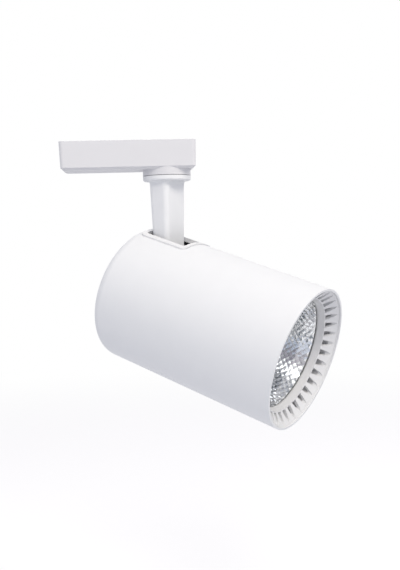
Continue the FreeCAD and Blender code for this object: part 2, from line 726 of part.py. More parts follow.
def make_wave_washer():
    """Spring washer under the swivel nut."""
    return ring(WAVE_WASHER_R, SHAFT_R, STOP_TOP, NUT_BOTTOM)


def make_swivel_nut():
    """Nut that carries the lamp."""
    return hexagon(NUT_ACROSS_FLATS, NUT_BOTTOM, NUT_TOP).cut(
        upright(SHAFT_R, 0, 0, NUT_BOTTOM - 1, NUT_TOP + 1))


def make_friction_ring():
    """Ring in the neck's flange that drags on the boss."""
    return ring(FRICTION_RING_OUT, FRICTION_RING_IN, FLANGE_TOP - FRICTION_RECESS,
                BOSS_BOTTOM - RUN_GAP)


# ---------------------------------------------------------------- neck


def neck_outline(length, width, z):
    """Arguments of the neck's section."""
    return (-length / 2, length / 2, -width / 2, width / 2, NECK_CORNER_R, z)


def make_neck():
    """Cast arm: swivel flange above, tapered column, round foot at the tilt pin."""
    flange = turned([vec(0, 0, FLANGE_TOP), vec(FLANGE_R, 0, FLANGE_TOP),
                     vec(FLANGE_R, 0, FLANGE_BOTTOM + FLANGE_ROUND),
                     (vec(FLANGE_R - FLANGE_ROUND * (1 - math.sqrt(0.5)), 0,
                          FLANGE_BOTTOM + FLANGE_ROUND * (1 - math.sqrt(0.5))),
                      vec(FLANGE_R - FLANGE_ROUND, 0, FLANGE_BOTTOM)),
                     vec(0, 0, FLANGE_BOTTOM)], ORIGIN, Z_AXIS)
    flare_end = FLANGE_BOTTOM - NECK_FLARE_HEIGHT
    taper_end = UNDERSIDE - TAPER_END
    flare = tapered_block(neck_outline(NECK_TOP_LENGTH, NECK_TOP_WIDTH, flare_end),
                          neck_outline(NECK_TOP_LENGTH + NECK_FLARE, NECK_TOP_WIDTH + NECK_FLARE,
                                       FLANGE_BOTTOM))
    column = tapered_block(neck_outline(NECK_LENGTH, NECK_WIDTH, taper_end),
                           neck_outline(NECK_TOP_LENGTH, NECK_TOP_WIDTH, flare_end))
    lower = rounded_block(*neck_outline(NECK_LENGTH, NECK_WIDTH, 0)[:5],
                          PIN_Z - NECK_LENGTH, taper_end)
    half = NECK_WIDTH / 2
    foot_limit = box(-NECK_LENGTH, NECK_LENGTH, -half, half, PIN_Z, taper_end + 1).fuse(
        rod(NECK_LENGTH / 2, vec(0, -half, PIN_Z), vec(0, half, PIN_Z)))
    lower = lower.common(foot_limit)
    body = fuse_all([flange, flare, column, lower])
    shaft_bottom = FLANGE_TOP - SHAFT_IN_NECK
    cuts = [upright(SHAFT_R, 0, 0, shaft_bottom, 0),
            upright(SHAFT_BORE_R, 0, 0, PIN_Z - NECK_LENGTH, 0),
            ring(FRICTION_RING_OUT, FRICTION_RING_IN, FLANGE_TOP - FRICTION_RECESS, 0)]
    for side in (-1, 1):
        cuts.append(rod(PIN_THREAD_R, vec(0, side * (half - PIN_THREAD_LENGTH), PIN_Z),
                        vec(0, side * (half + 1), PIN_Z)))
    return body.cut(cuts)


def make_neck_wires():
    """Two wires that hang down the neck's bore, in its grommet."""
    wires = []
    top = FLANGE_TOP - SHAFT_IN_NECK
    for side in (-1, 1):
        wires.append(upright(WIRE_R, side * WIRE_SPACING / 2, 0, PIN_Z - NECK_LENGTH / 2, top))
    return Part.makeCompound(wires)


def make_wire_grommet():
    """Rubber grommet in the neck's bore, above the tilt screws."""
    bottom = UNDERSIDE - TAPER_END
    body = upright(SHAFT_BORE_R, 0, 0, bottom, bottom + GROMMET_LENGTH)
    holes = [upright(WIRE_R, side * WIRE_SPACING / 2, 0, bottom - 1, bottom + GROMMET_LENGTH + 1)
             for side in (-1, 1)]
    return body.cut(holes)


def make_tilt_screws():
    """Shoulder screws that the lamp tilts on, one each side of the neck's foot."""
    screws = []
    for side in (-1, 1):
        half = NECK_WIDTH / 2
        thread = rod(PIN_THREAD_R, vec(0, side * (half - PIN_THREAD_LENGTH), PIN_Z),
                     vec(0, side * half, PIN_Z))
        shoulder = rod(PIN_SHOULDER_R, vec(0, side * half, PIN_Z), vec(0, side * PIN_HEAD_IN, PIN_Z))
        head_out = side * (PIN_HEAD_IN + PIN_HEAD_THICK)
        head = rod(PIN_HEAD_R, vec(0, side * PIN_HEAD_IN, PIN_Z), vec(0, head_out, PIN_Z))
        socket = rod(PIN_SOCKET_R, vec(0, head_out - side * PIN_HEAD_THICK / 2, PIN_Z),
                     vec(0, head_out, PIN_Z))
        screws.append(fuse_all([thread, shoulder, head]).cut(socket))
    return Part.makeCompound(screws)


def pin_washers(outer, start, thick):
    """A washer on each tilt screw's shoulder."""
    washers = []
    for side in (-1, 1):
        near = vec(0, side * start, PIN_Z)
        far = vec(0, side * (start + thick), PIN_Z)
        washers.append(rod(outer, near, far).cut(rod(PIN_SHOULDER_R, near, far)))
    return Part.makeCompound(washers)


def make_tilt_friction_washers():
    """Washers between the neck's foot and the bracket's cheeks."""
    return pin_washers(PIN_WASHER_R, NECK_WIDTH / 2, PIN_WASHER_THICK)


def make_tilt_spring_washers():
    """Spring washers under the heads of the tilt screws."""
    return pin_washers(SPRING_WASHER_R, SPRING_WASHER_IN, SPRING_WASHER_THICK)


# ---------------------------------------------------------------- lamp shell


def slot_prism(grow_l, grow_w, corner_r):
    """Prism with the slot's outline, grown on each side, from the pin to above the shell."""
    half_w = SLOT_WIDTH / 2 + grow_w
    return rounded_block(-SLOT_REAR - grow_l, SLOT_FRONT + grow_l, -half_w, half_w, corner_r, 0,
                         PIN_BELOW_SKIN + 2 * TRIM_PROUD)


def bracket_screw_places():
    """Centres of the four bracket screws."""
    return [(s, n) for s in (-BRACKET_SCREW_S, BRACKET_SCREW_S)
            for n in (-BRACKET_SCREW_N, BRACKET_SCREW_N)]


def make_lamp_shell():
    """Cast can: closed round rear, slot for the neck, bosses and rails inside."""
    inner_round = REAR_ROUND - LAMP_WALL
    rear_in = -LAMP_REAR + REAR_WALL
    half_turn = math.sqrt(0.5)
    groove_s = LAMP_FRONT - SEAT_BORE_DEPTH + CLIP_GROOVE_LIFT
    groove_end = groove_s + CLIP_GROOVE_WIDTH
    body = lamp_turned([
        (-LAMP_REAR, 0), (-LAMP_REAR, LAMP_R - REAR_ROUND),
        ((-LAMP_REAR + REAR_ROUND * (1 - half_turn), LAMP_R - REAR_ROUND * (1 - half_turn)),
         (-LAMP_REAR + REAR_ROUND, LAMP_R)),
        (LAMP_FRONT, LAMP_R), (LAMP_FRONT, SEAT_R),
        (groove_end, SEAT_R), (groove_end, SEAT_R + CLIP_GROOVE_DEPTH),
        (groove_s, SEAT_R + CLIP_GROOVE_DEPTH), (groove_s, SEAT_R),
        (LAMP_FRONT - SEAT_BORE_DEPTH, SEAT_R), (LAMP_FRONT - SEAT_BORE_DEPTH, BORE_R),
        (rear_in + inner_round, BORE_R),
        ((rear_in + inner_round * (1 - half_turn), BORE_R - inner_round * (1 - half_turn)),
         (rear_in, BORE_R - inner_round)),
        (rear_in, 0)])
    skin = lamp_disc(LAMP_R - LAMP_WALL / 2, DRIVER_REAR_S, SINK_FACE_S)
    sink_boss = rod(SINK_BOSS_R, lamp_point(sink_back() - SINK_BOSS_LENGTH, SINK_BOSS_AT),
                    lamp_point(sink_back(), SINK_BOSS_AT))
    inside = around_lamp(sink_boss, SINK_BOSS_COUNT, 180.0 / SINK_BOSS_COUNT)
    for s, n in bracket_screw_places():
        inside.append(upright(BRACKET_BOSS_R, s, n, CHEEK_TOP, PIN_BELOW_SKIN))
    rail_top = -DRIVER_BOTTOM - PIN_ABOVE_AXIS
    for side in (-1, 1):
        centre = side * DRIVER_RAIL_N
        inside.append(box(DRIVER_REAR_S, DRIVER_FRONT_S, centre - DRIVER_RAIL_WIDTH / 2,
                          centre + DRIVER_RAIL_WIDTH / 2, -LAMP_R - PIN_ABOVE_AXIS, rail_top))
    inside = [shape.common(skin) for shape in inside]
    body = fuse_all([body] + inside)
    cuts = [slot_prism(TRIM_COLLAR_WALL + FIT_GAP, TRIM_COLLAR_WALL + FIT_GAP,
                       SLOT_CORNER_R + TRIM_COLLAR_WALL + FIT_GAP)]
    rebate = slot_prism(TRIM_END_STRIP + TRIM_GROOVE, TRIM_SIDE_STRIP + TRIM_GROOVE,
                        TRIM_CORNER_R + TRIM_GROOVE)
    cuts.append(rebate.cut(lamp_disc(LAMP_R - TRIM_SUNK, -LAMP_REAR, LAMP_FRONT)))
    for s, n in bracket_screw_places():
        cuts.append(upright(M3_R, s, n, CHEEK_TOP - 1, CHEEK_TOP + M3_GRIP))
    hole_end = sink_back() - SINK_SCREW_GRIP - M3_TIP_GAP
    screw_hole = rod(M3_R, lamp_point(hole_end, SINK_SCREW_AT),
                     lamp_point(sink_back() + 1, SINK_SCREW_AT))
    cuts += around_lamp(screw_hole, SINK_BOSS_COUNT, 180.0 / SINK_BOSS_COUNT)
    for side in (-1, 1):
        cuts.append(upright(M3_R, -DRIVER_SCREW_S, side * DRIVER_RAIL_N,
                            rail_top - DRIVER_SCREW_GRIP - M3_TIP_GAP, rail_top))
    return body.cut(cuts)


def make_slot_trim():
    """Frame clipped into the slot, following the shell's curve."""
    flange = slot_prism(TRIM_END_STRIP, TRIM_SIDE_STRIP, TRIM_CORNER_R)
    flange = flange.common(lamp_ring(LAMP_R + TRIM_PROUD, LAMP_R - TRIM_SUNK, -LAMP_REAR, LAMP_FRONT))
    collar = slot_prism(TRIM_COLLAR_WALL, TRIM_COLLAR_WALL, SLOT_CORNER_R + TRIM_COLLAR_WALL)
    collar = collar.common(lamp_ring(LAMP_R, BORE_R, -LAMP_REAR, LAMP_FRONT))
    return flange.fuse(collar).removeSplitter().cut(slot_prism(0, 0, SLOT_CORNER_R))


# ---------------------------------------------------------------- tilt bracket


def make_tilt_bracket():
    """Steel U that holds the tilt screws, screwed up to the shell's bosses."""
    parts = []
    bridge_top = -BRIDGE_BELOW
    for side in (-1, 1):
        near, far = sorted((side * CHEEK_IN, side * CHEEK_OUT))
        parts.append(box(-CHEEK_HALF_LENGTH, CHEEK_HALF_LENGTH, near, far,
                         bridge_top - CHEEK_THICK, CHEEK_TOP))
        near, far = sorted((side * CHEEK_IN, side * TAB_END))
        parts.append(box(-CHEEK_HALF_LENGTH, CHEEK_HALF_LENGTH, near, far,
                         CHEEK_TOP - CHEEK_THICK, CHEEK_TOP))
    parts.append(box(-CHEEK_HALF_LENGTH, CHEEK_HALF_LENGTH, -CHEEK_OUT, CHEEK_OUT,
                     bridge_top - CHEEK_THICK, bridge_top))
    body = fuse_all(parts)
    cuts = [rod(PIN_SHOULDER_R + RUN_GAP, vec(0, -CHEEK_OUT - 1, 0), vec(0, CHEEK_OUT + 1, 0)),
            upright(BRACKET_WIRE_HOLE_R, 0, 0, bridge_top - CHEEK_THICK - 1, bridge_top + 1)]
    for s, n in bracket_screw_places():
        cuts.append(upright(M3_R, s, n, CHEEK_TOP - CHEEK_THICK - 1, CHEEK_TOP + 1))
    return body.cut(cuts)


def make_bracket_screws():
    """Four M3 screws up through the bracket's tabs."""
    seat = CHEEK_TOP - CHEEK_THICK
    return Part.makeCompound([m3_screw(vec(s, n, seat), Z_AXIS, CHEEK_THICK + M3_GRIP)
                              for s, n in bracket_screw_places()])


# ---------------------------------------------------------------- heat sink and LED


def sink_back():
    """Rear face of the heat sink's plate."""
    return SINK_FACE_S - SINK_PLATE_THICK


def make_heat_sink():
    """Cast plate across the shell, with radial fins behind it."""
    back = sink_back()
    plate = lamp_disc(BORE_R - FIT_GAP, back, SINK_FACE_S)
    fin = box(back - FIN_LENGTH, back + 1, -FIN_THICK / 2, FIN_THICK / 2,
              FIN_INNER_R - PIN_ABOVE_AXIS, FIN_OUTER_R - PIN_ABOVE_AXIS)
    hub = lamp_disc(FIN_INNER_R + FIN_ROOT, back - FIN_LENGTH, back + 1)
    half_step = 180.0 / FIN_COUNT
    body = fuse_all([plate, hub] + around_lamp(fin, FIN_COUNT, half_step))
    vent = rod(SINK_VENT_R, lamp_point(back - 1, SINK_VENT_AT),
               lamp_point(SINK_FACE_S + 1, SINK_VENT_AT))
    cuts = around_lamp(vent, SINK_VENT_COUNT, 180.0 / SINK_VENT_COUNT)
    screw_hole = rod(M3_R, lamp_point(back - 1, SINK_SCREW_AT),
                     lamp_point(SINK_FACE_S + 1, SINK_SCREW_AT))
    cuts += around_lamp(screw_hole, SINK_BOSS_COUNT, 180.0 / SINK_BOSS_COUNT)
    holder_hole = rod(M3_R, lamp_point(back - 1, HOLDER_SCREW_AT),
                      lamp_point(SINK_FACE_S + 1, HOLDER_SCREW_AT))
    cuts += around_lamp(holder_hole, 2, 90)
    cuts.append(rod(WIRE_HOLE_R, lamp_point(back - 1, -LED_WIRE_BELOW),
                    lamp_point(SINK_FACE_S + 1, -LED_WIRE_BELOW)))
    return body.cut(cuts)


def make_heat_sink_screws():
    """Three M3 screws from the front into the shell's bosses."""
    screw = m3_screw(lamp_point(SINK_FACE_S, SINK_SCREW_AT), vec(-1, 0, 0),
                     SINK_PLATE_THICK + SINK_SCREW_GRIP)
    return Part.makeCompound(around_lamp(screw, SINK_BOSS_COUNT, 180.0 / SINK_BOSS_COUNT))


def lamp_square(side, s0, s1):
    """Square block about the lamp's axis."""
    return box(s0, s1, -side / 2, side / 2, -side / 2 - PIN_ABOVE_AXIS, side / 2 - PIN_ABOVE_AXIS)


def make_thermal_pad():
    """Heat-conducting pad behind the LED board."""
    return lamp_square(LED_SIDE, SINK_FACE_S, SINK_FACE_S + LED_PAD_THICK)


def board_front():
    """Front face of the LED board."""
    return SINK_FACE_S + LED_PAD_THICK + BOARD_THICK


def make_led_board():
    """Square metal-core board."""
    return lamp_square(LED_SIDE, SINK_FACE_S + LED_PAD_THICK, board_front())


def make_led_phosphor():
    """Round light-emitting layer on the board."""
    return lamp_disc(PHOSPHOR_R, board_front(), board_front() + PHOSPHOR_THICK)


def make_led_holder():
    """Round plastic holder that clamps the LED board and carries the reflector."""
    body = lamp_disc(HOLDER_R, SINK_FACE_S, SINK_FACE_S + HOLDER_THICK)
    pocket = lamp_square(LED_SIDE + 2 * FIT_GAP, SINK_FACE_S - 1, board_front() + FIT_GAP)
    opening = lamp_disc(HOLDER_OPENING_R, SINK_FACE_S, SINK_FACE_S + HOLDER_THICK + 1)
    hole = rod(M3_R, lamp_point(SINK_FACE_S - 1, HOLDER_SCREW_AT),
               lamp_point(SINK_FACE_S + HOLDER_THICK + 1, HOLDER_SCREW_AT))
    sink = rod(M3_HEAD_R + FIT_GAP, lamp_point(holder_seat(), HOLDER_SCREW_AT),
               lamp_point(SINK_FACE_S + HOLDER_THICK + 1, HOLDER_SCREW_AT))
    return body.cut([pocket, opening] + around_lamp(hole, 2, 90) + around_lamp(sink, 2, 90))


def holder_seat():
    """Level of the holder's screw heads."""
    return SINK_FACE_S + HOLDER_THICK - M3_HEAD_THICK


def make_holder_screws():
    """Two M3 screws that hold the LED holder."""
    screw = m3_screw(lamp_point(holder_seat(), HOLDER_SCREW_AT), vec(-1, 0, 0),
                     holder_seat() - sink_back())
    return Part.makeCompound(around_lamp(screw, 2, 90))


# ---------------------------------------------------------------- optics and bezel


def depth(value):
    """Place along the lamp of a depth behind the front rim."""
    return LAMP_FRONT - value


def pocket_front():
    """Rear face of the bezel's opening flange, where the gasket lies."""
    return depth(OPENING_DEPTH + OPENING_FLANGE)


def glass_front():
    return pocket_front() - GASKET_THICK


def reflector_front():
    return glass_front() - GLASS_THICK


def reflector_back():
    return SINK_FACE_S + HOLDER_THICK


def reflector_radius(s):
    """Inside radius of the paraboloid at a place along the lamp."""
    share = (s - reflector_back()) / (reflector_front() - reflector_back())
    low = HOLDER_OPENING_R ** 2
    high = REFLECTOR_MOUTH_R ** 2
    return math.sqrt(low + (high - low) * share)


def make_reflector():
    """Paraboloid bowl with a flange at its mouth and a foot on the LED holder."""
    back = reflector_back()
    front = reflector_front()
    stations = [back + (front - back) * index / REFLECTOR_STEPS for index in range(REFLECTOR_STEPS + 1)]
    inner = Part.BSplineCurve()
    inner.interpolate([lamp_point(s, reflector_radius(s)) for s in stations])
    outer = Part.BSplineCurve()
    outer.interpolate([lamp_point(s, reflector_radius(s) + REFLECTOR_WALL) for s in stations])
    edges = [inner.toShape(),
             Part.makeLine(lamp_point(front, REFLECTOR_MOUTH_R),
                           lamp_point(front, REFLECTOR_MOUTH_R + REFLECTOR_WALL)),
             outer.toShape(),
             Part.makeLine(lamp_point(back, HOLDER_OPENING_R + REFLECTOR_WALL),
                           lamp_point(back, HOLDER_OPENING_R))]
    bowl = Part.Face(Part.Wire(edges)).revolve(lamp_point(0, 0), X_AXIS, 360)
    flange = lamp_ring(pocket_r() - FIT_GAP, REFLECTOR_MOUTH_R, front - REFLECTOR_WALL, front)
    return bowl.fuse(flange).removeSplitter()


def pocket_r():
    """Bore of the collar that holds gasket, glass and reflector."""
    return COLLAR_R - COLLAR_WALL


def make_lens_gasket():
    """Silicone ring in front of the glass."""
    return lamp_ring(pocket_r() - FIT_GAP, OPENING_R + FIT_GAP, glass_front(), pocket_front())


def make_lens_glass():
    """Clear glass disc."""
    return lamp_disc(pocket_r() - FIT_GAP, reflector_front(), glass_front())


def retainer_front():
    return reflector_front() - REFLECTOR_WALL


def make_retaining_ring():
    """Ring behind the reflector's flange that holds the glass and reflector in the bezel."""
    return lamp_ring(pocket_r(), pocket_r() - RETAINER_WIDTH,
                     retainer_front() - RETAINER_THICK, retainer_front())


def cone_depth(radius):
    """Depth of the bezel's cone at a radius."""
    share = (BEZEL_R - radius) / BEZEL_CONE_WIDTH
    return LIP_DEPTH + (BEZEL_CONE_IN_DEPTH - LIP_DEPTH) * share


def vent_cut():
    """Cutter of one vent: a tapering hole at the cone's foot and a groove that rises to a point."""
    hole_in = BEZEL_CONE_IN_R + RUN_GAP
    below = depth(OPENING_DEPTH) + FACE_GAP
    section = [lamp_point(LAMP_FRONT, hole_in), lamp_point(below, hole_in),
               lamp_point(below, VENT_HOLE_OUT_R),
               lamp_point(depth(cone_depth(VENT_HOLE_OUT_R) + VENT_DEPTH), VENT_HOLE_OUT_R),
               lamp_point(depth(cone_depth(VENT_TIP_R)), VENT_TIP_R),
               lamp_point(LAMP_FRONT, VENT_TIP_R), lamp_point(LAMP_FRONT, hole_in)]
    slab = Part.Face(Part.makePolygon(section)).extrude(vec(0, VENT_WIDTH, 0))
    slab.translate(vec(0, -VENT_WIDTH / 2, 0))
    half = VENT_WIDTH / 2
    half_end = VENT_END_WIDTH / 2
    plan = [(-half, hole_in), (half, hole_in), (half_end, VENT_HOLE_OUT_R), (0, VENT_TIP_R),
            (-half_end, VENT_HOLE_OUT_R), (-half, hole_in)]
    plan = [vec(below, y, r - PIN_ABOVE_AXIS) for y, r in plan]
    wedge = Part.Face(Part.makePolygon(plan)).extrude(vec(LAMP_FRONT - below, 0, 0))
    return slab.common(wedge)


def clip_window_s():
    """Middle of the shell's clip groove."""
    return LAMP_FRONT - SEAT_BORE_DEPTH + CLIP_GROOVE_LIFT + CLIP_GROOVE_WIDTH / 2


def make_bezel():
    """Front ring: plain cone with vents at its foot, collar for the glass, skirt in the shell."""
    skirt_out = BEZEL_R
    skirt_in = skirt_out - BEZEL_SKIRT_WALL
    skirt_end = LAMP_FRONT - SEAT_BORE_DEPTH
    cone_in = BEZEL_CONE_IN_R
    slope = (BEZEL_CONE_IN_DEPTH - LIP_DEPTH) / BEZEL_CONE_WIDTH
    rear_drop = BEZEL_WALL * math.sqrt(1 + slope * slope)
    collar_end = retainer_front() - RETAINER_THICK
    body = lamp_turned([
        (depth(LIP_DEPTH), skirt_out),
        (skirt_end, skirt_out), (skirt_end, skirt_in),
        (depth(LIP_DEPTH + rear_drop + slope * BEZEL_SKIRT_WALL), skirt_in),
        (depth(BEZEL_CONE_IN_DEPTH + rear_drop), cone_in),
        (depth(OPENING_DEPTH), cone_in), (depth(OPENING_DEPTH), COLLAR_R),
        (collar_end, COLLAR_R), (collar_end, pocket_r()), (pocket_front(), pocket_r()),
        (pocket_front(), OPENING_R), (depth(OPENING_DEPTH), OPENING_R),
        (depth(BEZEL_CONE_IN_DEPTH), cone_in - BEZEL_LAND), (depth(BEZEL_CONE_IN_DEPTH), cone_in)])
    half = CLIP_GROOVE_WIDTH / 2
    window = box(clip_window_s() - half, clip_window_s() + half, -CLIP_WIDTH / 2 - FIT_GAP,
                 CLIP_WIDTH / 2 + FIT_GAP, skirt_in - 1 - PIN_ABOVE_AXIS,
                 skirt_out + 1 - PIN_ABOVE_AXIS)
    cuts = around_lamp(vent_cut(), VENT_COUNT, 180.0 / VENT_COUNT)
    cuts += around_lamp(window, CLIP_COUNT, 0)
    return body.cut(cuts)


def make_bezel_clips():
    """Spring clips inside the skirt that hook into the shell's groove."""
    skirt_in = BEZEL_R - BEZEL_SKIRT_WALL
    seat = math.sqrt(skirt_in ** 2 - (CLIP_WIDTH / 2) ** 2) - PIN_ABOVE_AXIS
    middle = clip_window_s()
    leaf = box(middle - CLIP_HOOK / 2, middle + CLIP_LENGTH, -CLIP_WIDTH / 2, CLIP_WIDTH / 2,
               seat - CLIP_THICK, seat)
    hook = box(middle - CLIP_HOOK / 2, middle + CLIP_HOOK / 2, -CLIP_WIDTH / 2, CLIP_WIDTH / 2,
               seat - CLIP_THICK, SEAT_R + CLIP_GROOVE_DEPTH / 3 - PIN_ABOVE_AXIS)
    return Part.makeCompound(around_lamp(leaf.fuse(hook).removeSplitter(), CLIP_COUNT, 0))


# ---------------------------------------------------------------- driver


def driver_levels():
    """Underside of the case and top of its side walls."""
    bottom = -DRIVER_BOTTOM - PIN_ABOVE_AXIS
    return bottom, bottom + DRIVER_HEIGHT - DRIVER_LID_THICK


def board_level():
    """Underside of the driver's circuit board."""
    return driver_levels()[0] + DRIVER_WALL + DRIVER_BOARD_LIFT


def make_driver_case():
    """Plastic tray of the LED driver, on the shell's two rails."""
    bottom, top = driver_levels()
    half = DRIVER_HALF_WIDTH
    body = box(DRIVER_REAR_S, DRIVER_FRONT_S, -half, half, bottom, top)
    body = body.cut(box(DRIVER_REAR_S + DRIVER_WALL, DRIVER_FRONT_S - DRIVER_WALL,
                        -half + DRIVER_WALL, half - DRIVER_WALL, bottom + DRIVER_WALL, top + 1))
    posts = []
    for s in (DRIVER_REAR_S + DRIVER_POST_INSET, DRIVER_FRONT_S - DRIVER_POST_INSET):
        for n in (-half + DRIVER_POST_INSET, half - DRIVER_POST_INSET):
            posts.append(upright(DRIVER_POST_R, s, n, bottom + DRIVER_WALL / 2, board_level()))
    body = fuse_all([body] + posts)
    holes = [upright(M3_R, -DRIVER_SCREW_S, side * DRIVER_RAIL_N, bottom - 1,
                     bottom + 2 * DRIVER_WALL)
             for side in (-1, 1)]
    led_exit = rod(WIRE_HOLE_R, lamp_point(DRIVER_FRONT_S - 2 * DRIVER_WALL, -LED_WIRE_BELOW),
                   lamp_point(DRIVER_FRONT_S + 1, -LED_WIRE_BELOW))
    return body.cut(holes + [led_exit])


def make_driver_lid():
    """Lid of the driver, with the mains wires' hole."""
    top = driver_levels()[1]
    half = DRIVER_HALF_WIDTH
    lid = box(DRIVER_REAR_S, DRIVER_FRONT_S, -half, half, top, top + DRIVER_LID_THICK)
    return lid.cut(upright(WIRE_HOLE_R, 0, 0, top - 1, top + DRIVER_LID_THICK + 1))


def make_driver_board():
    """Circuit board of the driver on four posts."""
    inset = DRIVER_WALL + FIT_GAP
    half = DRIVER_HALF_WIDTH - inset
    level = board_level()
    return box(DRIVER_REAR_S + inset, DRIVER_FRONT_S - inset, -half, half,
               level, level + DRIVER_BOARD_THICK)


def make_driver_transformer():
    """Square transformer on the board."""
    level = board_level() + DRIVER_BOARD_THICK
    side = TRANSFORMER_SIDE
    edge = -DRIVER_HALF_WIDTH + DRIVER_WALL + TRANSFORMER_SIDE_GAP
    return box(-side / 2, side / 2, edge, edge + side, level, level + TRANSFORMER_HEIGHT)


def make_driver_capacitors():
    """Two capacitors that lie on the board."""
    level = board_level() + DRIVER_BOARD_THICK + CAPACITOR_R
    edge = DRIVER_HALF_WIDTH - DRIVER_WALL - CAPACITOR_SIDE_GAP
    cans = []
    for s in (-CAPACITOR_SPACING / 2, CAPACITOR_SPACING / 2):
        cans.append(rod(CAPACITOR_R, vec(s, edge - CAPACITOR_LENGTH, level), vec(s, edge, level)))
    return Part.makeCompound(cans)


def make_driver_screws():
    """Two M3 screws from inside the case into the rails."""
    seat = driver_levels()[0] + DRIVER_WALL
    length = DRIVER_WALL + DRIVER_SCREW_GRIP
    return Part.makeCompound([m3_screw(vec(-DRIVER_SCREW_S, side * DRIVER_RAIL_N, seat),
                                       vec(0, 0, -1), length)
                              for side in (-1, 1)])


def make_mains_wires():
    """Ends of the mains wires, from the board up through the driver's lid to the bracket."""
    bottom = board_level() + DRIVER_BOARD_THICK
    top = -BRIDGE_BELOW - CHEEK_THICK - MAINS_WIRE_GAP
    return Part.makeCompound([upright(WIRE_R, 0, side * WIRE_PAIR_SPACING / 2, bottom, top)
                              for side in (-1, 1)])


def make_led_wires():
    """Two wires from the driver, through the heat sink, to the LED holder."""
    level = -LED_WIRE_BELOW - PIN_ABOVE_AXIS
    front = SINK_FACE_S + HOLDER_THICK / 2
    wires = []
    for side in (-1, 1):
        n = side * WIRE_PAIR_SPACING / 2
        points = [vec(DRIVER_FRONT_S - DRIVER_WALL, n, level), vec(front, n, level),
                  vec(front, n, -HOLDER_R - PIN_ABOVE_AXIS)]
        wires.append(wire_tube(points, WIRE_R, LED_WIRE_BEND_R))
    return Part.makeCompound(wires)


# ---------------------------------------------------------------- output

ADAPTER_NODES = {
    "adapter_housing": make_adapter_housing,
    "adapter_cover": make_adapter_cover,
    "cover_screws": make_cover_screws,
    "contact_head": make_contact_head,
    "contact_blades": make_contact_blades,
    "lock_key": make_lock_key,
    "thumb_slide": make_thumb_slide,
    "terminal_block": make_terminal_block,
    "terminal_screws": make_terminal_screws,
    "adapter_wires": make_adapter_wires,
    "swivel_bush": make_swivel_bush,
}

NECK_NODES = {
    "swivel_shaft": make_swivel_shaft,
    "stop_washer": make_stop_washer,
    "wave_washer": make_wave_washer,
    "swivel_nut": make_swivel_nut,
    "friction_ring": make_friction_ring,
    "neck": make_neck,
    "neck_wires": make_neck_wires,
    "wire_grommet": make_wire_grommet,
    "tilt_screws": make_tilt_screws,
    "tilt_friction_washers": make_tilt_friction_washers,
    "tilt_spring_washers": make_tilt_spring_washers,
}

LAMP_NODES = {
    "lamp_shell": make_lamp_shell,
    "slot_trim": make_slot_trim,
    "tilt_bracket": make_tilt_bracket,
    "bracket_screws": make_bracket_screws,
    "heat_sink": make_heat_sink,
    "heat_sink_screws": make_heat_sink_screws,
    "thermal_pad": make_thermal_pad,
    "led_board": make_led_board,
    "led_phosphor": make_led_phosphor,
    "led_holder": make_led_holder,
    "holder_screws": make_holder_screws,
    "reflector": make_reflector,
    "lens_gasket": make_lens_gasket,
    "lens_glass": make_lens_glass,
    "retaining_ring": make_retaining_ring,
    "bezel": make_bezel,
    "bezel_clips": make_bezel_clips,
    "driver_case": make_driver_case,
    "driver_lid": make_driver_lid,
    "driver_board": make_driver_board,
    "driver_transformer": make_driver_transformer,
    "driver_capacitors": make_driver_capacitors,
    "driver_screws": make_driver_screws,
    "mains_wires": make_mains_wires,
    "led_wires": make_led_wires,
}


def write_nodes(nodes, placement):
    """Build each node, place it and write its STEP file."""
    for name, maker in nodes.items():
        shape = maker()
        shape.transformShape(placement.toMatrix(), True)
        shape.exportStep("parts/" + name + ".step")
        print(name, len(shape.Solids), shape.isValid(), round(shape.Volume, 1))


def main():
    os.makedirs("parts", exist_ok=True)
    write_nodes(ADAPTER_NODES, FreeCAD.Placement())
    write_nodes(NECK_NODES, NECK_PLACE)
    write_nodes(LAMP_NODES, LAMP_PLACE)


main()
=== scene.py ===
import json
import math

import bpy
from mathutils import Matrix, Vector


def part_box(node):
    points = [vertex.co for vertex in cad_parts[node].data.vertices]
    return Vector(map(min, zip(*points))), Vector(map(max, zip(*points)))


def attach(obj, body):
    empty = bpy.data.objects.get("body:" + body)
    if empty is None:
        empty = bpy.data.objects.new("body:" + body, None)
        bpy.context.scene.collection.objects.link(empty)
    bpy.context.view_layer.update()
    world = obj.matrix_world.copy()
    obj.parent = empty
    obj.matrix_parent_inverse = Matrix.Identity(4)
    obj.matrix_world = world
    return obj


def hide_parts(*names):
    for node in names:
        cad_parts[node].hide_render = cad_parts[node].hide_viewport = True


bl_info = {
    "name": "Track spotlight",
    "version": (1, 0, 0),
    "blender": (4, 5, 0),
    "location": "3D View > Sidebar > Spotlight",
    "description": "Dresses the track spotlight and sets up its studio",
    "category": "Object",
}

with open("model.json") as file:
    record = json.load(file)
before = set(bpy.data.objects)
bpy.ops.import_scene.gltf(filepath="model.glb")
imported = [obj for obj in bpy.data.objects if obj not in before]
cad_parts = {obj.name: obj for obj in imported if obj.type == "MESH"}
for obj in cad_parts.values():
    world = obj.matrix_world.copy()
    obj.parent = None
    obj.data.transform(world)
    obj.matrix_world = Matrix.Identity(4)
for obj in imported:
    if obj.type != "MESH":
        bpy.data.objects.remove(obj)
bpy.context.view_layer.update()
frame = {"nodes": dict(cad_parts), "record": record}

# ---------------------------------------------------------------- named values

# Lengths are in metres and colours linear, where nothing else is said.
MM = 0.001
UPRIGHT = Vector((0, 0, 1))
WHITE = (1.0, 1.0, 1.0, 1.0)

# The photograph's camera: its turns in degrees, its focal length in pixels of the 400 x 570 frame,
# its sensor in millimetres.
PHOTO_LONG_SIDE_PX = 570
FOCAL_PX = 780
CAMERA_AT = Vector((-0.02675, -0.54408, -0.06218))
CAMERA_YAW = 5.0
CAMERA_PITCH = -3.92
CAMERA_ROLL = -1.66
SENSOR_WIDTH = 36.0
CLIP_START = 0.01

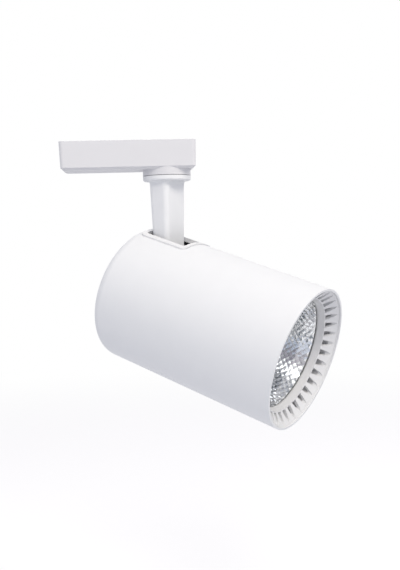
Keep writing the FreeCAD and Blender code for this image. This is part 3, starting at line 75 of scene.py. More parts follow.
# Where the lamp lies: on the record's tilt joint, nose down as in the photograph.
JOINTS = {joint["name"]: joint for joint in frame["record"]["behaviour"]["joints"]}
PIN_AT = Vector(JOINTS["tilt"]["pos_m"])
ACROSS = Vector(JOINTS["tilt"]["axis"]).normalized()
TILT_REST = math.radians(17.5)
PIN_ABOVE_AXIS = 28.5 * MM

# The can's inner wall, within this radius of its axis and from this place along the lamp forwards, is
# bare casting coloured near black: painted shade seen through the vents.
SHELL_INNER_R = 45.5 * MM
SHELL_BARE_X = -21.0 * MM
EDGE_BLUR = 0.05 * MM       # width over which paint gives way to bare metal

# Reflector: places along the lamp and radii round its axis.
REFLECTOR_BACK = 51.0 * MM
REFLECTOR_FRONT = 102.6 * MM
REFLECTOR_LENGTH = REFLECTOR_FRONT - REFLECTOR_BACK
REFLECTOR_NECK_R = 10.5 * MM
REFLECTOR_MOUTH_R = 37.6 * MM
REFLECTOR_FLANGE_R = 39.9 * MM
REFLECTOR_WALL = 1.0 * MM
FACET_STAND = 0.25 * MM     # from the bowl to the facets that line it
FACET_VERTICES = 5          # along one side of a facet
BOWL_STEPS = 24
BOWL_CROWDING = 1.5         # how the steps crowd towards the neck
BOWL_SEGMENTS = 96

# How the surfaces wander: tone over blotches, roughness and relief over the grain.
TONE_BLOTCH = 12 * MM
TONE_SPREAD = 0.02
METAL_BLOTCH = 4 * MM
METAL_SPREAD = 0.05
NOISE_DETAIL = 3.0
GRAIN_NOISE_ROUGHNESS = 0.6
SMOOTHER = 0.05             # how far the roughness falls below its own value
ROUGHER = 0.07              # how far it rises above
PAINT_RELIEF = 0.012 * MM
PAINT_ROUGHNESS = 0.55
PAINT_SPECULAR = 0.4
PLASTIC_RELIEF = 0.008 * MM
PLASTIC_ROUGHNESS = 0.5
PLASTIC_SPECULAR = 0.45

# Mirror of the reflector, with a faint haze.
MIRROR_COLOUR = (0.92, 0.93, 0.95)
MIRROR_HAZE_TONE = 0.97
MIRROR_HAZE_WIDTH = 2.5 * MM
MIRROR_HAZE_DETAIL = 2.0
MIRROR_ROUGHNESS = (0.02, 0.05)

GLASS_COLOUR = (0.99, 0.995, 0.995)
GLASS_IOR = 1.45

# slot: material, colour, grain and relief in millimetres, roughness
SURFACES = {
    "light_plastic": ("holder_plastic", (0.8, 0.8, 0.78), 0.3, 0.006, 0.45),
    "nylon": ("nylon", (0.78, 0.76, 0.68), 0.3, 0.006, 0.4),
    "silicone": ("silicone", (0.75, 0.76, 0.76), 0.4, 0.004, 0.5),
    "pad_grey": ("thermal_pad", (0.3, 0.32, 0.35), 0.5, 0.01, 0.8),
    "phosphor": ("phosphor", (0.85, 0.78, 0.55), 0.6, 0.01, 0.5),
    "board_white": ("white_mask", (0.84, 0.84, 0.82), 0.5, 0.004, 0.3),
    "board_green": ("green_mask", (0.03, 0.16, 0.06), 0.5, 0.004, 0.3),
    "black_plastic": ("black_plastic", (0.03, 0.03, 0.03), 0.3, 0.008, 0.5),
    "wire_brown": ("brown_sleeve", (0.16, 0.07, 0.04), 0.5, 0.004, 0.45),
    "wire_red": ("red_sleeve", (0.45, 0.03, 0.02), 0.5, 0.004, 0.45),
    "rubber_black": ("black_rubber", (0.025, 0.025, 0.025), 0.4, 0.01, 0.7),
}

# slot: material, colour, grain and relief in millimetres, roughness
METALS = {
    "steel": ("zinc_steel", (0.62, 0.63, 0.65), 0.4, 0.004, 0.28),
    "copper": ("copper", (0.86, 0.48, 0.3), 0.4, 0.004, 0.22),
    "aluminium": ("cast_aluminium", (0.75, 0.76, 0.77), 0.8, 0.02, 0.42),
}

# Nodes that look a little different from the rest of their slot; the bezel's darker plastic is painted
# shade in its recess.
OWN_FINISHES = {
    "adapter_housing": "adapter_plastic",
    "adapter_cover": "adapter_plastic",
    "contact_head": "adapter_plastic",
    "thumb_slide": "adapter_plastic",
    "lamp_shell": "shell_paint",
    "bezel": "bezel_plastic",
}

# Lamps: the place they aim at, their distance from it and their directions.
LAMP_TARGET = Vector((0.03, -0.03, -0.08))
LAMP_DISTANCE = 1.5
KEY_FROM = Vector((-0.05, -0.74, 0.67))
SIDE_FROM = Vector((0.52, -0.5, 0.69))

# Floor, a square with its middle under the adapter.
FLOOR_HALF = 4.0
FLOOR_COLOUR = (0.79, 0.8, 0.83)
FLOOR_ROUGHNESS = 0.9
FLOOR_SPECULAR = 0.1
FLOOR_GLOW = (0.38, 0.36, 0.32)
FLOOR_NEAR = 0.8            # from here on it fades into the white background
FLOOR_FAR = 1.6             # and here it has gone

# Cards round the lens, seen only in reflections: glowing sheets that paint reflections of a room and of
# the key lamp into the reflector and onto glossy surfaces.
CARD_DISTANCE = 0.38
CARD_STEPS = 6              # faces along one side of a card

# name, azimuths from the camera's side towards its right, elevations, colour
PAINTED_REFLECTION_CARDS = [
    ("card_blue", (-60, -23), (-38, -24), (0.02, 0.06, 0.1)),
    ("card_sky", (-60, -9), (-24, 2), (0.68, 0.74, 0.88)),
    ("card_dark", (-7, 10), (-22, 0), (0.01, 0.03, 0.05)),
    ("card_mauve", (-50, 4), (2, 26), (0.47, 0.44, 0.5)),
    # A glowing card, not a lamp: the painted reflection of the key lamp.
    ("card_lamp", (-2, 20), (30, 52), (3.0, 3.0, 3.0)),
    ("card_grey", (24, 75), (36, 64), (0.12, 0.15, 0.19)),
    ("card_behind", (95, 150), (-45, 5), (0.02, 0.03, 0.04)),
]


# ---------------------------------------------------------------- sizes and colours


class SpotlightFinish(bpy.types.PropertyGroup):
    """Colours and textures of the surfaces."""

    paint: bpy.props.FloatVectorProperty(
        name="Powder coat", description="Colour of the can and the neck",
        subtype="COLOR", size=3, default=(0.845, 0.85, 0.857))
    # Near black: bare casting darkened to paint the shade seen through the vents.
    inside: bpy.props.FloatVectorProperty(
        name="Inside", description="Colour of the bare casting inside the can",
        subtype="COLOR", size=3, default=(0.1, 0.1, 0.105))
    plastic: bpy.props.FloatVectorProperty(
        name="White plastic", description="Colour of the trim and the other white plastic",
        subtype="COLOR", size=3, default=(0.83, 0.831, 0.834))
    adapter: bpy.props.FloatVectorProperty(
        name="Adapter plastic", description="Colour of the adapter, a little greyer",
        subtype="COLOR", size=3, default=(0.735, 0.73, 0.745))
    # A darker copy of the white plastic: painted shade on the recessed bezel.
    bezel: bpy.props.FloatVectorProperty(
        name="Bezel plastic", description="Colour of the bezel, a little darker",
        subtype="COLOR", size=3, default=(0.79, 0.79, 0.793))
    paint_grain: bpy.props.FloatProperty(
        name="Paint grain", description="Width of the powder coat's orange peel",
        unit="LENGTH", default=0.45 * MM)
    plastic_grain: bpy.props.FloatProperty(
        name="Plastic grain", description="Width of the moulded plastic's texture",
        unit="LENGTH", default=0.25 * MM)


class SpotlightReflector(bpy.types.PropertyGroup):
    """Sizes of the faceted reflector."""

    around: bpy.props.IntProperty(
        name="Facets around", description="Facets in one ring", default=50)
    rows: bpy.props.IntProperty(
        name="Rows", description="Rings of facets, each set half a facet round", default=46)
    bulge: bpy.props.FloatProperty(
        name="Bulge", description="Height of a facet's middle, as a share of its half size",
        default=0.03)
    crowding: bpy.props.FloatProperty(
        name="Crowding", description="How the rows crowd towards the LED", default=1.25)


class SpotlightStudio(bpy.types.PropertyGroup):
    """Floor, room light and lamps."""

    floor_below: bpy.props.FloatProperty(
        name="Floor below", description="Height of the adapter above the floor",
        unit="LENGTH", default=0.42)
    room: bpy.props.FloatProperty(
        name="Room light", description="Strength of the room's light", default=0.66)
    room_tint: bpy.props.FloatVectorProperty(
        name="Room tint", description="Colour of the room's light",
        subtype="COLOR", size=3, default=(0.885, 0.905, 1.0))
    key: bpy.props.FloatProperty(
        name="Key lamp", description="Power of the lamp above the camera", unit="POWER",
        default=7.0)
    key_tint: bpy.props.FloatVectorProperty(
        name="Key tint", description="Colour of the lamp above the camera",
        subtype="COLOR", size=3, default=(1.0, 0.95, 0.86))
    key_size: bpy.props.FloatProperty(
        name="Key size", description="Side of the lamp above the camera",
        unit="LENGTH", default=0.6)
    side: bpy.props.FloatProperty(
        name="Side lamp", description="Power of the lamp above the camera's right", unit="POWER",
        default=7.4)
    side_tint: bpy.props.FloatVectorProperty(
        name="Side tint", description="Colour of the lamp above the camera's right",
        subtype="COLOR", size=3, default=(1.0, 0.94, 0.84))
    side_size: bpy.props.FloatProperty(
        name="Side size", description="Side of the lamp above the camera's right",
        unit="LENGTH", default=0.5)


# ---------------------------------------------------------------- places on the lamp


def lamp_matrix():
    """Places lamp coordinates in the frame: X along the lamp from the pin, Z up from its axis."""
    forward = ACROSS.cross(UPRIGHT) * math.cos(TILT_REST) - UPRIGHT * math.sin(TILT_REST)
    up = forward.cross(ACROSS)
    turn = Matrix((forward, ACROSS, up)).transposed().to_4x4()
    return Matrix.Translation(PIN_AT) @ turn @ Matrix.Translation((0, 0, -PIN_ABOVE_AXIS))


# ---------------------------------------------------------------- node helpers


class Nodes:
    """A node tree, with short calls for its nodes."""

    def __init__(self, tree):
        self.tree = tree

    def link(self, start, end):
        self.tree.links.new(start, end)

    def node(self, kind, values=None, **settings):
        """A node with its settings, and its inputs by name or number, linked or constant."""
        made = self.tree.nodes.new(kind)
        for key, value in settings.items():
            setattr(made, key, value)
        for key, value in (values or {}).items():
            if isinstance(value, bpy.types.NodeSocket):
                self.link(value, made.inputs[key])
            else:
                made.inputs[key].default_value = value
        return made

    def math(self, operation, *values):
        """A number worked out from others."""
        made = self.node("ShaderNodeMath", dict(enumerate(values)), operation=operation)
        return made.outputs[0]

    def vector_math(self, operation, *values):
        """A node that works out a vector, or a number, from vectors."""
        return self.node("ShaderNodeVectorMath", dict(enumerate(values)), operation=operation)

    def vector(self, x, y, z):
        """A vector from its three numbers."""
        return self.node("ShaderNodeCombineXYZ", {0: x, 1: y, 2: z}).outputs[0]

    def seen_directly(self):
        """1 for rays from the camera, and for those that surfaces reflect or glass lets through."""
        path = self.node("ShaderNodeLightPath").outputs
        first = self.math("MAXIMUM", path["Is Camera Ray"], path["Is Glossy Ray"])
        return self.math("MAXIMUM", first, path["Is Transmission Ray"])


def rgba(colour):
    """A colour with its alpha."""
    return tuple(colour) + (1.0,)


def shade(colour, factor):
    """A colour, lighter or darker, with its alpha."""
    return rgba(min(1.0, channel * factor) for channel in colour)


# ---------------------------------------------------------------- materials


class Shader(Nodes):
    """One material's node tree."""

    def __init__(self, name):
        self.material = bpy.data.materials.new(name)
        self.material.use_nodes = True
        super().__init__(self.material.node_tree)
        self.tree.nodes.clear()
        self.output = self.node("ShaderNodeOutputMaterial")
        self.surface = self.node("ShaderNodeBsdfPrincipled")
        self.link(self.surface.outputs["BSDF"], self.output.inputs["Surface"])
        self.where = self.node("ShaderNodeTexCoord").outputs["Object"]

    def set(self, **values):
        """Constants and links on the surface's own sockets; underscores stand for spaces."""
        for key, value in values.items():
            socket = self.surface.inputs[key.replace("_", " ")]
            if isinstance(value, bpy.types.NodeSocket):
                self.link(value, socket)
            elif isinstance(value, tuple):
                socket.default_value = rgba(value)
            else:
                socket.default_value = value

    def noise(self, width, detail=NOISE_DETAIL, roughness=0.5):
        """Noise whose blotches are about this wide, in metres."""
        made = self.node("ShaderNodeTexNoise", {"Vector": self.where, "Scale": 1.0 / width,
                                                "Detail": detail, "Roughness": roughness})
        return made.outputs["Fac"]

    def ranged(self, value, low, high, start=0.0, end=1.0, ramp="LINEAR"):
        """The value spread between two limits as it goes from start to end."""
        made = self.node("ShaderNodeMapRange", {"Value": value, "From Min": start, "From Max": end,
                                                "To Min": low, "To Max": high},
                         interpolation_type=ramp)
        return made.outputs["Result"]

    def mixed(self, share, first, second):
        """A colour between two, by a share from 0 to 1."""
        return self.node("ShaderNodeMix", {0: share, 6: first, 7: second}, data_type="RGBA").outputs[2]

    def wandering(self, colour, blotch, spread):
        """A colour whose tone wanders by this share over blotches of this width."""
        return self.mixed(self.noise(blotch), shade(colour, 1 - spread), shade(colour, 1 + spread / 2))

    def grained(self, grain, relief, rough):
        """Fine relief in metres, and a roughness that wanders with it."""
        fine = self.noise(grain, roughness=GRAIN_NOISE_ROUGHNESS)
        bump = self.node("ShaderNodeBump", {"Strength": 1.0, "Distance": relief, "Height": fine})
        self.set(Roughness=self.ranged(fine, rough - SMOOTHER, rough + ROUGHER),
                 Normal=bump.outputs["Normal"])

    def along_and_off_lamp(self):
        """Place along the lamp from its pin, and distance off its long axis, in metres."""
        matrix = lamp_matrix()
        forward = matrix.col[0].to_3d()
        away = self.vector_math("SUBTRACT", self.where, matrix.to_translation()).outputs[0]
        along = self.vector_math("DOT_PRODUCT", away, forward)
        across = self.vector_math("CROSS_PRODUCT", away, forward)
        off = self.vector_math("LENGTH", across.outputs[0])
        return along.outputs["Value"], off.outputs["Value"]


def textured(name, colour, grain, relief, rough, spread=TONE_SPREAD, blotch=TONE_BLOTCH, **sockets):
    """Painted, moulded or cast surface: fine relief, roughness and tone that wander a little."""
    made = Shader(name)
    made.set(Base_Color=made.wandering(colour, blotch, spread), **sockets)
    made.grained(grain, relief, rough)
    return made.material


def metal(name, colour, grain, relief, rough):
    """Bare metal with a fine uneven finish."""
    return textured(name, colour, grain, relief, rough, METAL_SPREAD, METAL_BLOTCH, Metallic=1.0)


def moulded(name, colour, grain):
    """Moulded white plastic."""
    return textured(name, colour, grain, PLASTIC_RELIEF, PLASTIC_ROUGHNESS,
                    Specular_IOR_Level=PLASTIC_SPECULAR)


def powder_coat(name, colour, grain):
    """Powder coat all over."""
    return textured(name, colour, grain, PAINT_RELIEF, PAINT_ROUGHNESS,
                    Specular_IOR_Level=PAINT_SPECULAR)


def painted_can(name, colour, bare, grain):
    """Powder coat outside; on the can's inner wall, bare casting coloured near black, which paints the
    shade seen through the vents.
    """
    made = Shader(name)
    paint = made.wandering(colour, TONE_BLOTCH, TONE_SPREAD)
    # The dark inner wall: painted shade behind the vents.
    inside = made.wandering(bare, METAL_BLOTCH, METAL_SPREAD)
    along, off = made.along_and_off_lamp()
    beside = made.ranged(off, 0.0, 1.0, SHELL_INNER_R + EDGE_BLUR, SHELL_INNER_R + 2 * EDGE_BLUR)
    behind = made.ranged(along, 1.0, 0.0, SHELL_BARE_X - 2 * EDGE_BLUR, SHELL_BARE_X - EDGE_BLUR)
    made.set(Base_Color=made.mixed(made.math("MAXIMUM", beside, behind), inside, paint),
             Specular_IOR_Level=PAINT_SPECULAR)
    made.grained(grain, PAINT_RELIEF, PAINT_ROUGHNESS)
    return made.material


def mirror_metal(name):
    """Vacuum-metallised surface: nearly a mirror, with a faint haze."""
    made = Shader(name)
    haze = made.noise(MIRROR_HAZE_WIDTH, MIRROR_HAZE_DETAIL)
    colour = made.mixed(haze, shade(MIRROR_COLOUR, MIRROR_HAZE_TONE), rgba(MIRROR_COLOUR))
    made.set(Base_Color=colour, Roughness=made.ranged(haze, *MIRROR_ROUGHNESS), Metallic=1.0)
    return made.material


def clear_glass(name):
    """Thin clear lens."""
    made = Shader(name)
    made.set(Base_Color=GLASS_COLOUR, Roughness=0.0, IOR=GLASS_IOR, Transmission_Weight=1.0)
    return made.material


def make_materials(finish):
    """All materials, by the record's slots and by the names in OWN_FINISHES."""
    made = {
        "white_paint": powder_coat("powder_coat", finish.paint, finish.paint_grain),
        "shell_paint": painted_can("shell_paint", finish.paint, finish.inside, finish.paint_grain),
        "white_plastic": moulded("white_plastic", finish.plastic, finish.plastic_grain),
        # A darker copy of the white plastic: painted shade on the recessed bezel.
        "bezel_plastic": moulded("bezel_plastic", finish.bezel, finish.plastic_grain),
        "adapter_plastic": moulded("adapter_plastic", finish.adapter, finish.plastic_grain),
        "reflector_metal": mirror_metal("metallised"),
        "glass": clear_glass("lens_glass"),
    }
    for kind, table in ((textured, SURFACES), (metal, METALS)):
        for slot, (name, colour, grain, relief, rough) in table.items():
            made[slot] = kind(name, colour, grain * MM, relief * MM, rough)
    return made


# Filled by the first step, for the steps after it.
MATERIALS = {}


class SPOTLIGHT_OT_finishes(bpy.types.Operator):
    """Makes the materials and gives every carried-over solid its own"""

    bl_idname = "spotlight.finishes"
    bl_label = "Finishes"

    def execute(self, context):
        MATERIALS.update(make_materials(context.scene.spotlight_finish))
        looks = {part["node"]: part["material_slot"] for part in frame["record"]["subparts"]}
        looks.update(OWN_FINISHES)
        for name, thing in frame["nodes"].items():
            thing.data.materials.clear()
            thing.data.materials.append(MATERIALS[looks[name]])
        return {"FINISHED"}


# ---------------------------------------------------------------- reflector


def lathe(name, profile, segments):
    """Closed solid of revolution about X from a closed outline of (x, radius) points."""
    vertices = []
    faces = []
    for step in range(segments):
        angle = 2 * math.pi * step / segments
        for x, radius in profile:
            vertices.append((x, radius * math.sin(angle), radius * math.cos(angle)))
    count = len(profile)
    for step in range(segments):
        after = (step + 1) % segments
        for index in range(count):
            following = (index + 1) % count
            faces.append((step * count + index, step * count + following,
                          after * count + following, after * count + index))
    mesh = bpy.data.meshes.new(name)
    mesh.from_pydata(vertices, [], faces)
    mesh.update()
    return mesh


def bowl_radius(x):
    """Radius of the paraboloid at a place along the lamp."""
    share = (x - REFLECTOR_BACK) / REFLECTOR_LENGTH
    neck_square = REFLECTOR_NECK_R ** 2
    return math.sqrt(neck_square + (REFLECTOR_MOUTH_R ** 2 - neck_square) * share)


def bowl_profile():
    """Outline of the plain bowl behind the facets, with its flange."""
    stations = [REFLECTOR_BACK + REFLECTOR_LENGTH * (step / BOWL_STEPS) ** BOWL_CROWDING
                for step in range(BOWL_STEPS + 1)]
    inner = [(x, bowl_radius(x) + FACET_STAND) for x in stations]
    outer = [(x, bowl_radius(x) + FACET_STAND + REFLECTOR_WALL) for x in reversed(stations[:-1])]
    flange_back = REFLECTOR_FRONT - REFLECTOR_WALL
    flange = [(REFLECTOR_FRONT, REFLECTOR_FLANGE_R), (flange_back, REFLECTOR_FLANGE_R),
              (flange_back, outer[0][1])]
    return inner + flange + outer


class Geometry(Nodes):
    """A geometry node tree."""

    def __init__(self, name):
        super().__init__(bpy.data.node_groups.new(name, "GeometryNodeTree"))
        self.tree.interface.new_socket(name="Geometry", in_out="OUTPUT",
                                       socket_type="NodeSocketGeometry")
        self.inputs = self.node("NodeGroupInput")
        self.outputs = self.node("NodeGroupOutput")
        self.sockets = {}

    def input(self, name, kind, value):
        """A named input of the tree."""
        socket = self.tree.interface.new_socket(name=name, in_out="INPUT",
                                                socket_type="NodeSocket" + kind)
        self.sockets[socket.identifier] = value
        return self.inputs.outputs[name]

    def mesh(self, result, material):
        """The tree's result as a plain mesh."""
        whole = self.node("GeometryNodeRealizeInstances", {0: result})
        painted = self.node("GeometryNodeSetMaterial", {"Geometry": whole.outputs[0],
                                                        "Material": material})
        self.link(painted.outputs[0], self.outputs.inputs[0])
        holder = bpy.data.objects.new("holder", bpy.data.meshes.new("holder"))
        bpy.context.scene.collection.objects.link(holder)
        modifier = holder.modifiers.new("shape", "NODES")
        modifier.node_group = self.tree
        for identifier, value in self.sockets.items():
            modifier[identifier] = value
        scene_state = bpy.context.evaluated_depsgraph_get()
        mesh = bpy.data.meshes.new_from_object(holder.evaluated_get(scene_state))
        holder.modifiers.remove(modifier)
        bpy.data.objects.remove(holder)
        return mesh


def one_facet(tree, bulge):
    """A domed diamond, one unit from its middle to each corner."""
    grid = tree.node("GeometryNodeMeshGrid", {"Size X": 2.0, "Size Y": 2.0,
                                              "Vertices X": FACET_VERTICES,
                                              "Vertices Y": FACET_VERTICES})
    position = tree.node("GeometryNodeInputPosition").outputs[0]
    parts = tree.node("ShaderNodeSeparateXYZ", {0: position}).outputs
    fall_x = tree.math("SUBTRACT", 1.0, tree.math("MULTIPLY", parts[0], parts[0]))
    fall_y = tree.math("SUBTRACT", 1.0, tree.math("MULTIPLY", parts[1], parts[1]))
    dome = tree.math("MULTIPLY", tree.math("MULTIPLY", fall_x, fall_y), bulge)
    domed = tree.node("GeometryNodeSetPosition", {"Geometry": grid.outputs["Mesh"],
                                                  "Offset": tree.vector(0.0, 0.0, dome)})
    diamond = tree.node("GeometryNodeTransform", {
        "Geometry": domed.outputs[0], "Rotation": (0.0, 0.0, math.pi / 4),
        "Scale": (math.sqrt(0.5), math.sqrt(0.5), 1.0)})
    smooth = tree.node("GeometryNodeSetShadeSmooth", {"Geometry": diamond.outputs[0]})
    return smooth.outputs[0]


def facet_tree(sizes):
    """Diamond facets in rings on the paraboloid, each ring set half a facet round."""
    tree = Geometry("reflector_facets")
    around = tree.input("Around", "Int", sizes.around)
    rows = tree.input("Rows", "Int", sizes.rows)
    bulge = tree.input("Bulge", "Float", sizes.bulge)
    crowding = tree.input("Crowding", "Float", sizes.crowding)
    neck = tree.input("Neck radius", "Float", REFLECTOR_NECK_R)
    mouth = tree.input("Mouth radius", "Float", REFLECTOR_MOUTH_R)
    length = tree.input("Length", "Float", REFLECTOR_LENGTH)

    points = tree.node("GeometryNodePoints", {"Count": tree.math("MULTIPLY", around, rows)})
    index = tree.node("GeometryNodeInputIndex").outputs[0]
    row = tree.math("FLOOR", tree.math("DIVIDE", tree.math("ADD", index, 0.5), around))
    column = tree.math("SUBTRACT", index, tree.math("MULTIPLY", row, around))
    stagger = tree.math("MULTIPLY", tree.math("MODULO", row, 2.0), 0.5)
    circle = tree.math("MULTIPLY", tree.math("ADD", column, stagger), 2 * math.pi)
    turn = tree.math("DIVIDE", circle, around)
    sine = tree.math("SINE", turn)
    cosine = tree.math("COSINE", turn)
    neck_square = tree.math("MULTIPLY", neck, neck)
    growth = tree.math("SUBTRACT", tree.math("MULTIPLY", mouth, mouth), neck_square)

    def place(offset):
        """Radius and point on the bowl, this many rows past the row's own start."""
        share = tree.math("DIVIDE", tree.math("ADD", row, offset + 0.5), tree.math("ADD", rows, 1.0))
        spread = tree.math("POWER", share, crowding)
        widening = tree.math("MULTIPLY", spread, tree.math("SUBTRACT", mouth, neck))
        radius = tree.math("ADD", neck, widening)
        grown = tree.math("SUBTRACT", tree.math("MULTIPLY", radius, radius), neck_square)
        along = tree.math("MULTIPLY", length, tree.math("DIVIDE", grown, growth))
        point = tree.vector(along, tree.math("MULTIPLY", radius, sine),
                            tree.math("MULTIPLY", radius, cosine))
        return radius, point

    radius, here = place(0.5)
    ahead = place(1.0)[1]
    behind = place(0.0)[1]
    step = tree.vector_math("SUBTRACT", ahead, behind).outputs[0]
    reach = tree.vector_math("LENGTH", step).outputs["Value"]
    sideways = tree.vector(0.0, cosine, tree.math("MULTIPLY", sine, -1.0))
    inward = tree.vector_math("CROSS_PRODUCT", sideways, step).outputs[0]
    rotation = tree.node("FunctionNodeAxesToRotation", {0: inward, 1: sideways},
                         primary_axis="Z", secondary_axis="X").outputs[0]
    half_width = tree.math("DIVIDE", tree.math("MULTIPLY", radius, math.pi), around)
    moved = tree.node("GeometryNodeSetPosition", {"Geometry": points.outputs[0], "Position": here})
    copies = tree.node("GeometryNodeInstanceOnPoints", {
        "Points": moved.outputs[0], "Instance": one_facet(tree, bulge),
        "Rotation": rotation, "Scale": tree.vector(half_width, reach, half_width)})
    return tree, copies.outputs[0]


def piece(name, mesh, body, slot, *nodes):
    """Adds a finished mesh to the scene, hangs it on its body and hides the nodes it replaces."""
    thing = bpy.data.objects.new(name, mesh)
    bpy.context.scene.collection.objects.link(thing)
    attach(thing, body)
    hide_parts(*nodes)


class SPOTLIGHT_OT_reflector(bpy.types.Operator):
    """Makes the reflector: a plain bowl lined with diamond facets"""

    bl_idname = "spotlight.reflector"
    bl_label = "Reflector"

    def execute(self, context):
        material = MATERIALS["reflector_metal"]
        tree, copies = facet_tree(context.scene.spotlight_reflector)
        facets = tree.mesh(copies, material)
        facets.transform(Matrix.Translation((REFLECTOR_BACK, 0, 0)))
        facets.transform(lamp_matrix())
        bowl = lathe("reflector_bowl", bowl_profile(), BOWL_SEGMENTS)
        bowl.transform(lamp_matrix())
        bowl.shade_smooth()
        bowl.materials.append(material)
        piece("reflector_facets", facets, "lamp", "reflector_metal", "reflector")
        piece("reflector_bowl", bowl, "lamp", "reflector_metal", "reflector")
        return {"FINISHED"}


# ---------------------------------------------------------------- studio


def staged(name, vertices, faces, material):
    """Adds a mesh that belongs to the studio, not to the part."""
    mesh = bpy.data.meshes.new(name)
    mesh.from_pydata(vertices, [], faces)
    mesh.materials.append(material)
    thing = bpy.data.objects.new(name, mesh)
    bpy.context.scene.collection.objects.link(thing)
    return thing


def make_world(strength, tint):
    """Even, slightly cool room light with a white background."""
    world = bpy.data.worlds.new("studio")
    world.use_nodes = True
    world.node_tree.nodes.clear()
    nodes = Nodes(world.node_tree)
    light = nodes.node("ShaderNodeBackground", {"Color": rgba(tint), "Strength": strength})
    white = nodes.node("ShaderNodeBackground", {"Color": WHITE, "Strength": 1.0})
    mix = nodes.node("ShaderNodeMixShader", {0: nodes.seen_directly(), 1: light.outputs[0],
                                             2: white.outputs[0]})
    nodes.node("ShaderNodeOutputWorld", {"Surface": mix.outputs[0]})
    bpy.context.scene.world = world


def floor_material():
    """Matt floor that keeps the shadow, shows as near white and runs into the white background."""
    made = Shader("floor")
    made.set(Base_Color=FLOOR_COLOUR, Roughness=FLOOR_ROUGHNESS, Specular_IOR_Level=FLOOR_SPECULAR)
    seen = made.seen_directly()
    glow = made.node("ShaderNodeEmission", {"Color": rgba(FLOOR_GLOW), "Strength": seen})
    near = made.node("ShaderNodeAddShader", {0: made.surface.outputs[0], 1: glow.outputs[0]})
    away = made.vector_math("LENGTH", made.where).outputs["Value"]
    far = made.ranged(away, 0.0, 1.0, FLOOR_NEAR, FLOOR_FAR, "SMOOTHSTEP")
    white = made.node("ShaderNodeEmission", {"Color": WHITE, "Strength": 1.0})
    mix = made.node("ShaderNodeMixShader", {0: made.math("MULTIPLY", far, seen),
                                            1: near.outputs[0], 2: white.outputs[0]})
    made.link(mix.outputs[0], made.output.inputs["Surface"])
    return made.material


def add_floor(below):
    """Flat floor under the part, this far below the adapter's top."""
    corners = [(-FLOOR_HALF, -FLOOR_HALF), (FLOOR_HALF, -FLOOR_HALF),
               (FLOOR_HALF, FLOOR_HALF), (-FLOOR_HALF, FLOOR_HALF)]
    staged("floor", [(x, y, -below) for x, y in corners], [(0, 1, 2, 3)], floor_material())


def add_card(name, azimuths, elevations, colour):
    """Glowing card round the lens, between two azimuths and two elevations, that only reflections show:
    a painted reflection.
    """
    made = Shader(name)
    made.set(Base_Color=(0.0, 0.0, 0.0), Roughness=1.0, Specular_IOR_Level=0.0,
             Emission_Color=colour, Emission_Strength=1.0)
    low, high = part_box("lens_glass")
    centre = (Vector(low) + Vector(high)) / 2
    vertices = []
    faces = []
    for row in range(CARD_STEPS + 1):
        elevation = math.radians(elevations[0] + (elevations[1] - elevations[0]) * row / CARD_STEPS)
        for column in range(CARD_STEPS + 1):
            azimuth = math.radians(azimuths[0] + (azimuths[1] - azimuths[0]) * column / CARD_STEPS)
            aim = Vector((math.sin(azimuth) * math.cos(elevation),
                          -math.cos(azimuth) * math.cos(elevation), math.sin(elevation)))
            vertices.append(centre + aim * CARD_DISTANCE)
            if row and column:
                corner = row * (CARD_STEPS + 1) + column
                faces.append((corner - CARD_STEPS - 2, corner - CARD_STEPS - 1, corner, corner - 1))
    card = staged(name, vertices, faces, made.material)
    card.visible_camera = False
    card.visible_diffuse = False
    card.visible_shadow = False


def add_lamp(name, direction, size, power, colour):
    """Square soft lamp in this direction from the part; no surface reflects the lamp itself."""
    data = bpy.data.lights.new(name, "AREA")
    data.size = size
    data.energy = power
    data.color = colour
    thing = bpy.data.objects.new(name, data)
    away = direction.normalized() * LAMP_DISTANCE
    thing.location = LAMP_TARGET + away
    thing.rotation_euler = away.to_track_quat("Z", "Y").to_euler()
    thing.visible_glossy = False
    bpy.context.scene.collection.objects.link(thing)


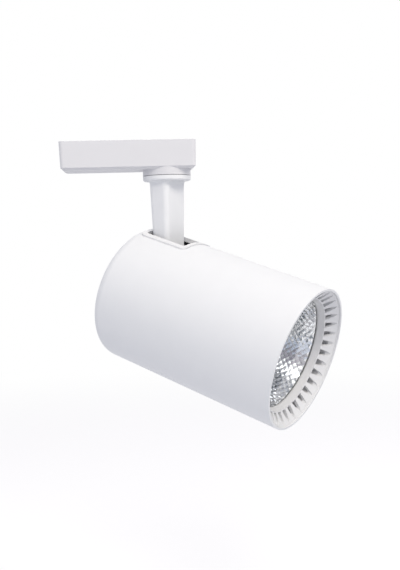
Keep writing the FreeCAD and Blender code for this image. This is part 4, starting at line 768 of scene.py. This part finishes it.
def add_camera():
    """Camera at the photograph's place, direction and field of view."""
    yaw = math.radians(CAMERA_YAW)
    pitch = math.radians(CAMERA_PITCH)
    roll = math.radians(CAMERA_ROLL)
    forward = Vector((math.sin(yaw) * math.cos(pitch), math.cos(yaw) * math.cos(pitch), math.sin(pitch)))
    level = Vector((math.cos(yaw), -math.sin(yaw), 0))
    upright = level.cross(forward)
    right = level * math.cos(roll) + upright * math.sin(roll)
    up = upright * math.cos(roll) - level * math.sin(roll)
    data = bpy.data.cameras.new("photo_camera")
    data.sensor_width = SENSOR_WIDTH
    data.lens = FOCAL_PX * SENSOR_WIDTH / PHOTO_LONG_SIDE_PX
    data.clip_start = CLIP_START
    thing = bpy.data.objects.new("photo_camera", data)
    turn = Matrix((right, up, -forward)).transposed().to_4x4()
    thing.matrix_world = Matrix.Translation(CAMERA_AT) @ turn
    bpy.context.scene.collection.objects.link(thing)
    bpy.context.scene.camera = thing


class SPOTLIGHT_OT_studio(bpy.types.Operator):
    """Makes the floor, the room light, the lamps, the cards and the camera"""

    bl_idname = "spotlight.studio"
    bl_label = "Studio"

    def execute(self, context):
        studio = context.scene.spotlight_studio
        context.scene.view_settings.view_transform = "Standard"
        add_floor(studio.floor_below)
        make_world(studio.room, studio.room_tint)
        add_lamp("key", KEY_FROM, studio.key_size, studio.key, studio.key_tint)
        add_lamp("side", SIDE_FROM, studio.side_size, studio.side, studio.side_tint)
        for card in PAINTED_REFLECTION_CARDS:
            add_card(*card)
        add_camera()
        return {"FINISHED"}


# ---------------------------------------------------------------- add-on


GROUPS = {
    "spotlight_finish": SpotlightFinish,
    "spotlight_reflector": SpotlightReflector,
    "spotlight_studio": SpotlightStudio,
}
STEPS = (SPOTLIGHT_OT_finishes, SPOTLIGHT_OT_reflector, SPOTLIGHT_OT_studio)


class SPOTLIGHT_PT_panel(bpy.types.Panel):
    """Lists the spotlight's sizes and steps."""

    bl_idname = "SPOTLIGHT_PT_panel"
    bl_label = "Track spotlight"
    bl_space_type = "VIEW_3D"
    bl_region_type = "UI"
    bl_category = "Spotlight"

    def draw(self, context):
        for group_name, kind in GROUPS.items():
            box = self.layout.box()
            for name in kind.__annotations__:
                box.prop(getattr(context.scene, group_name), name)
        for step in STEPS:
            self.layout.operator(step.bl_idname)


def register():
    for name, group in GROUPS.items():
        bpy.utils.register_class(group)
        setattr(bpy.types.Scene, name, bpy.props.PointerProperty(type=group))
    for step in STEPS:
        bpy.utils.register_class(step)
    bpy.utils.register_class(SPOTLIGHT_PT_panel)


def unregister():
    bpy.utils.unregister_class(SPOTLIGHT_PT_panel)
    for step in reversed(STEPS):
        bpy.utils.unregister_class(step)
    for name, group in GROUPS.items():
        delattr(bpy.types.Scene, name)
        bpy.utils.unregister_class(group)


def main():
    register()
    bpy.ops.spotlight.finishes()
    bpy.ops.spotlight.reflector()
    bpy.ops.spotlight.studio()


if __name__ == "__main__":
    main()
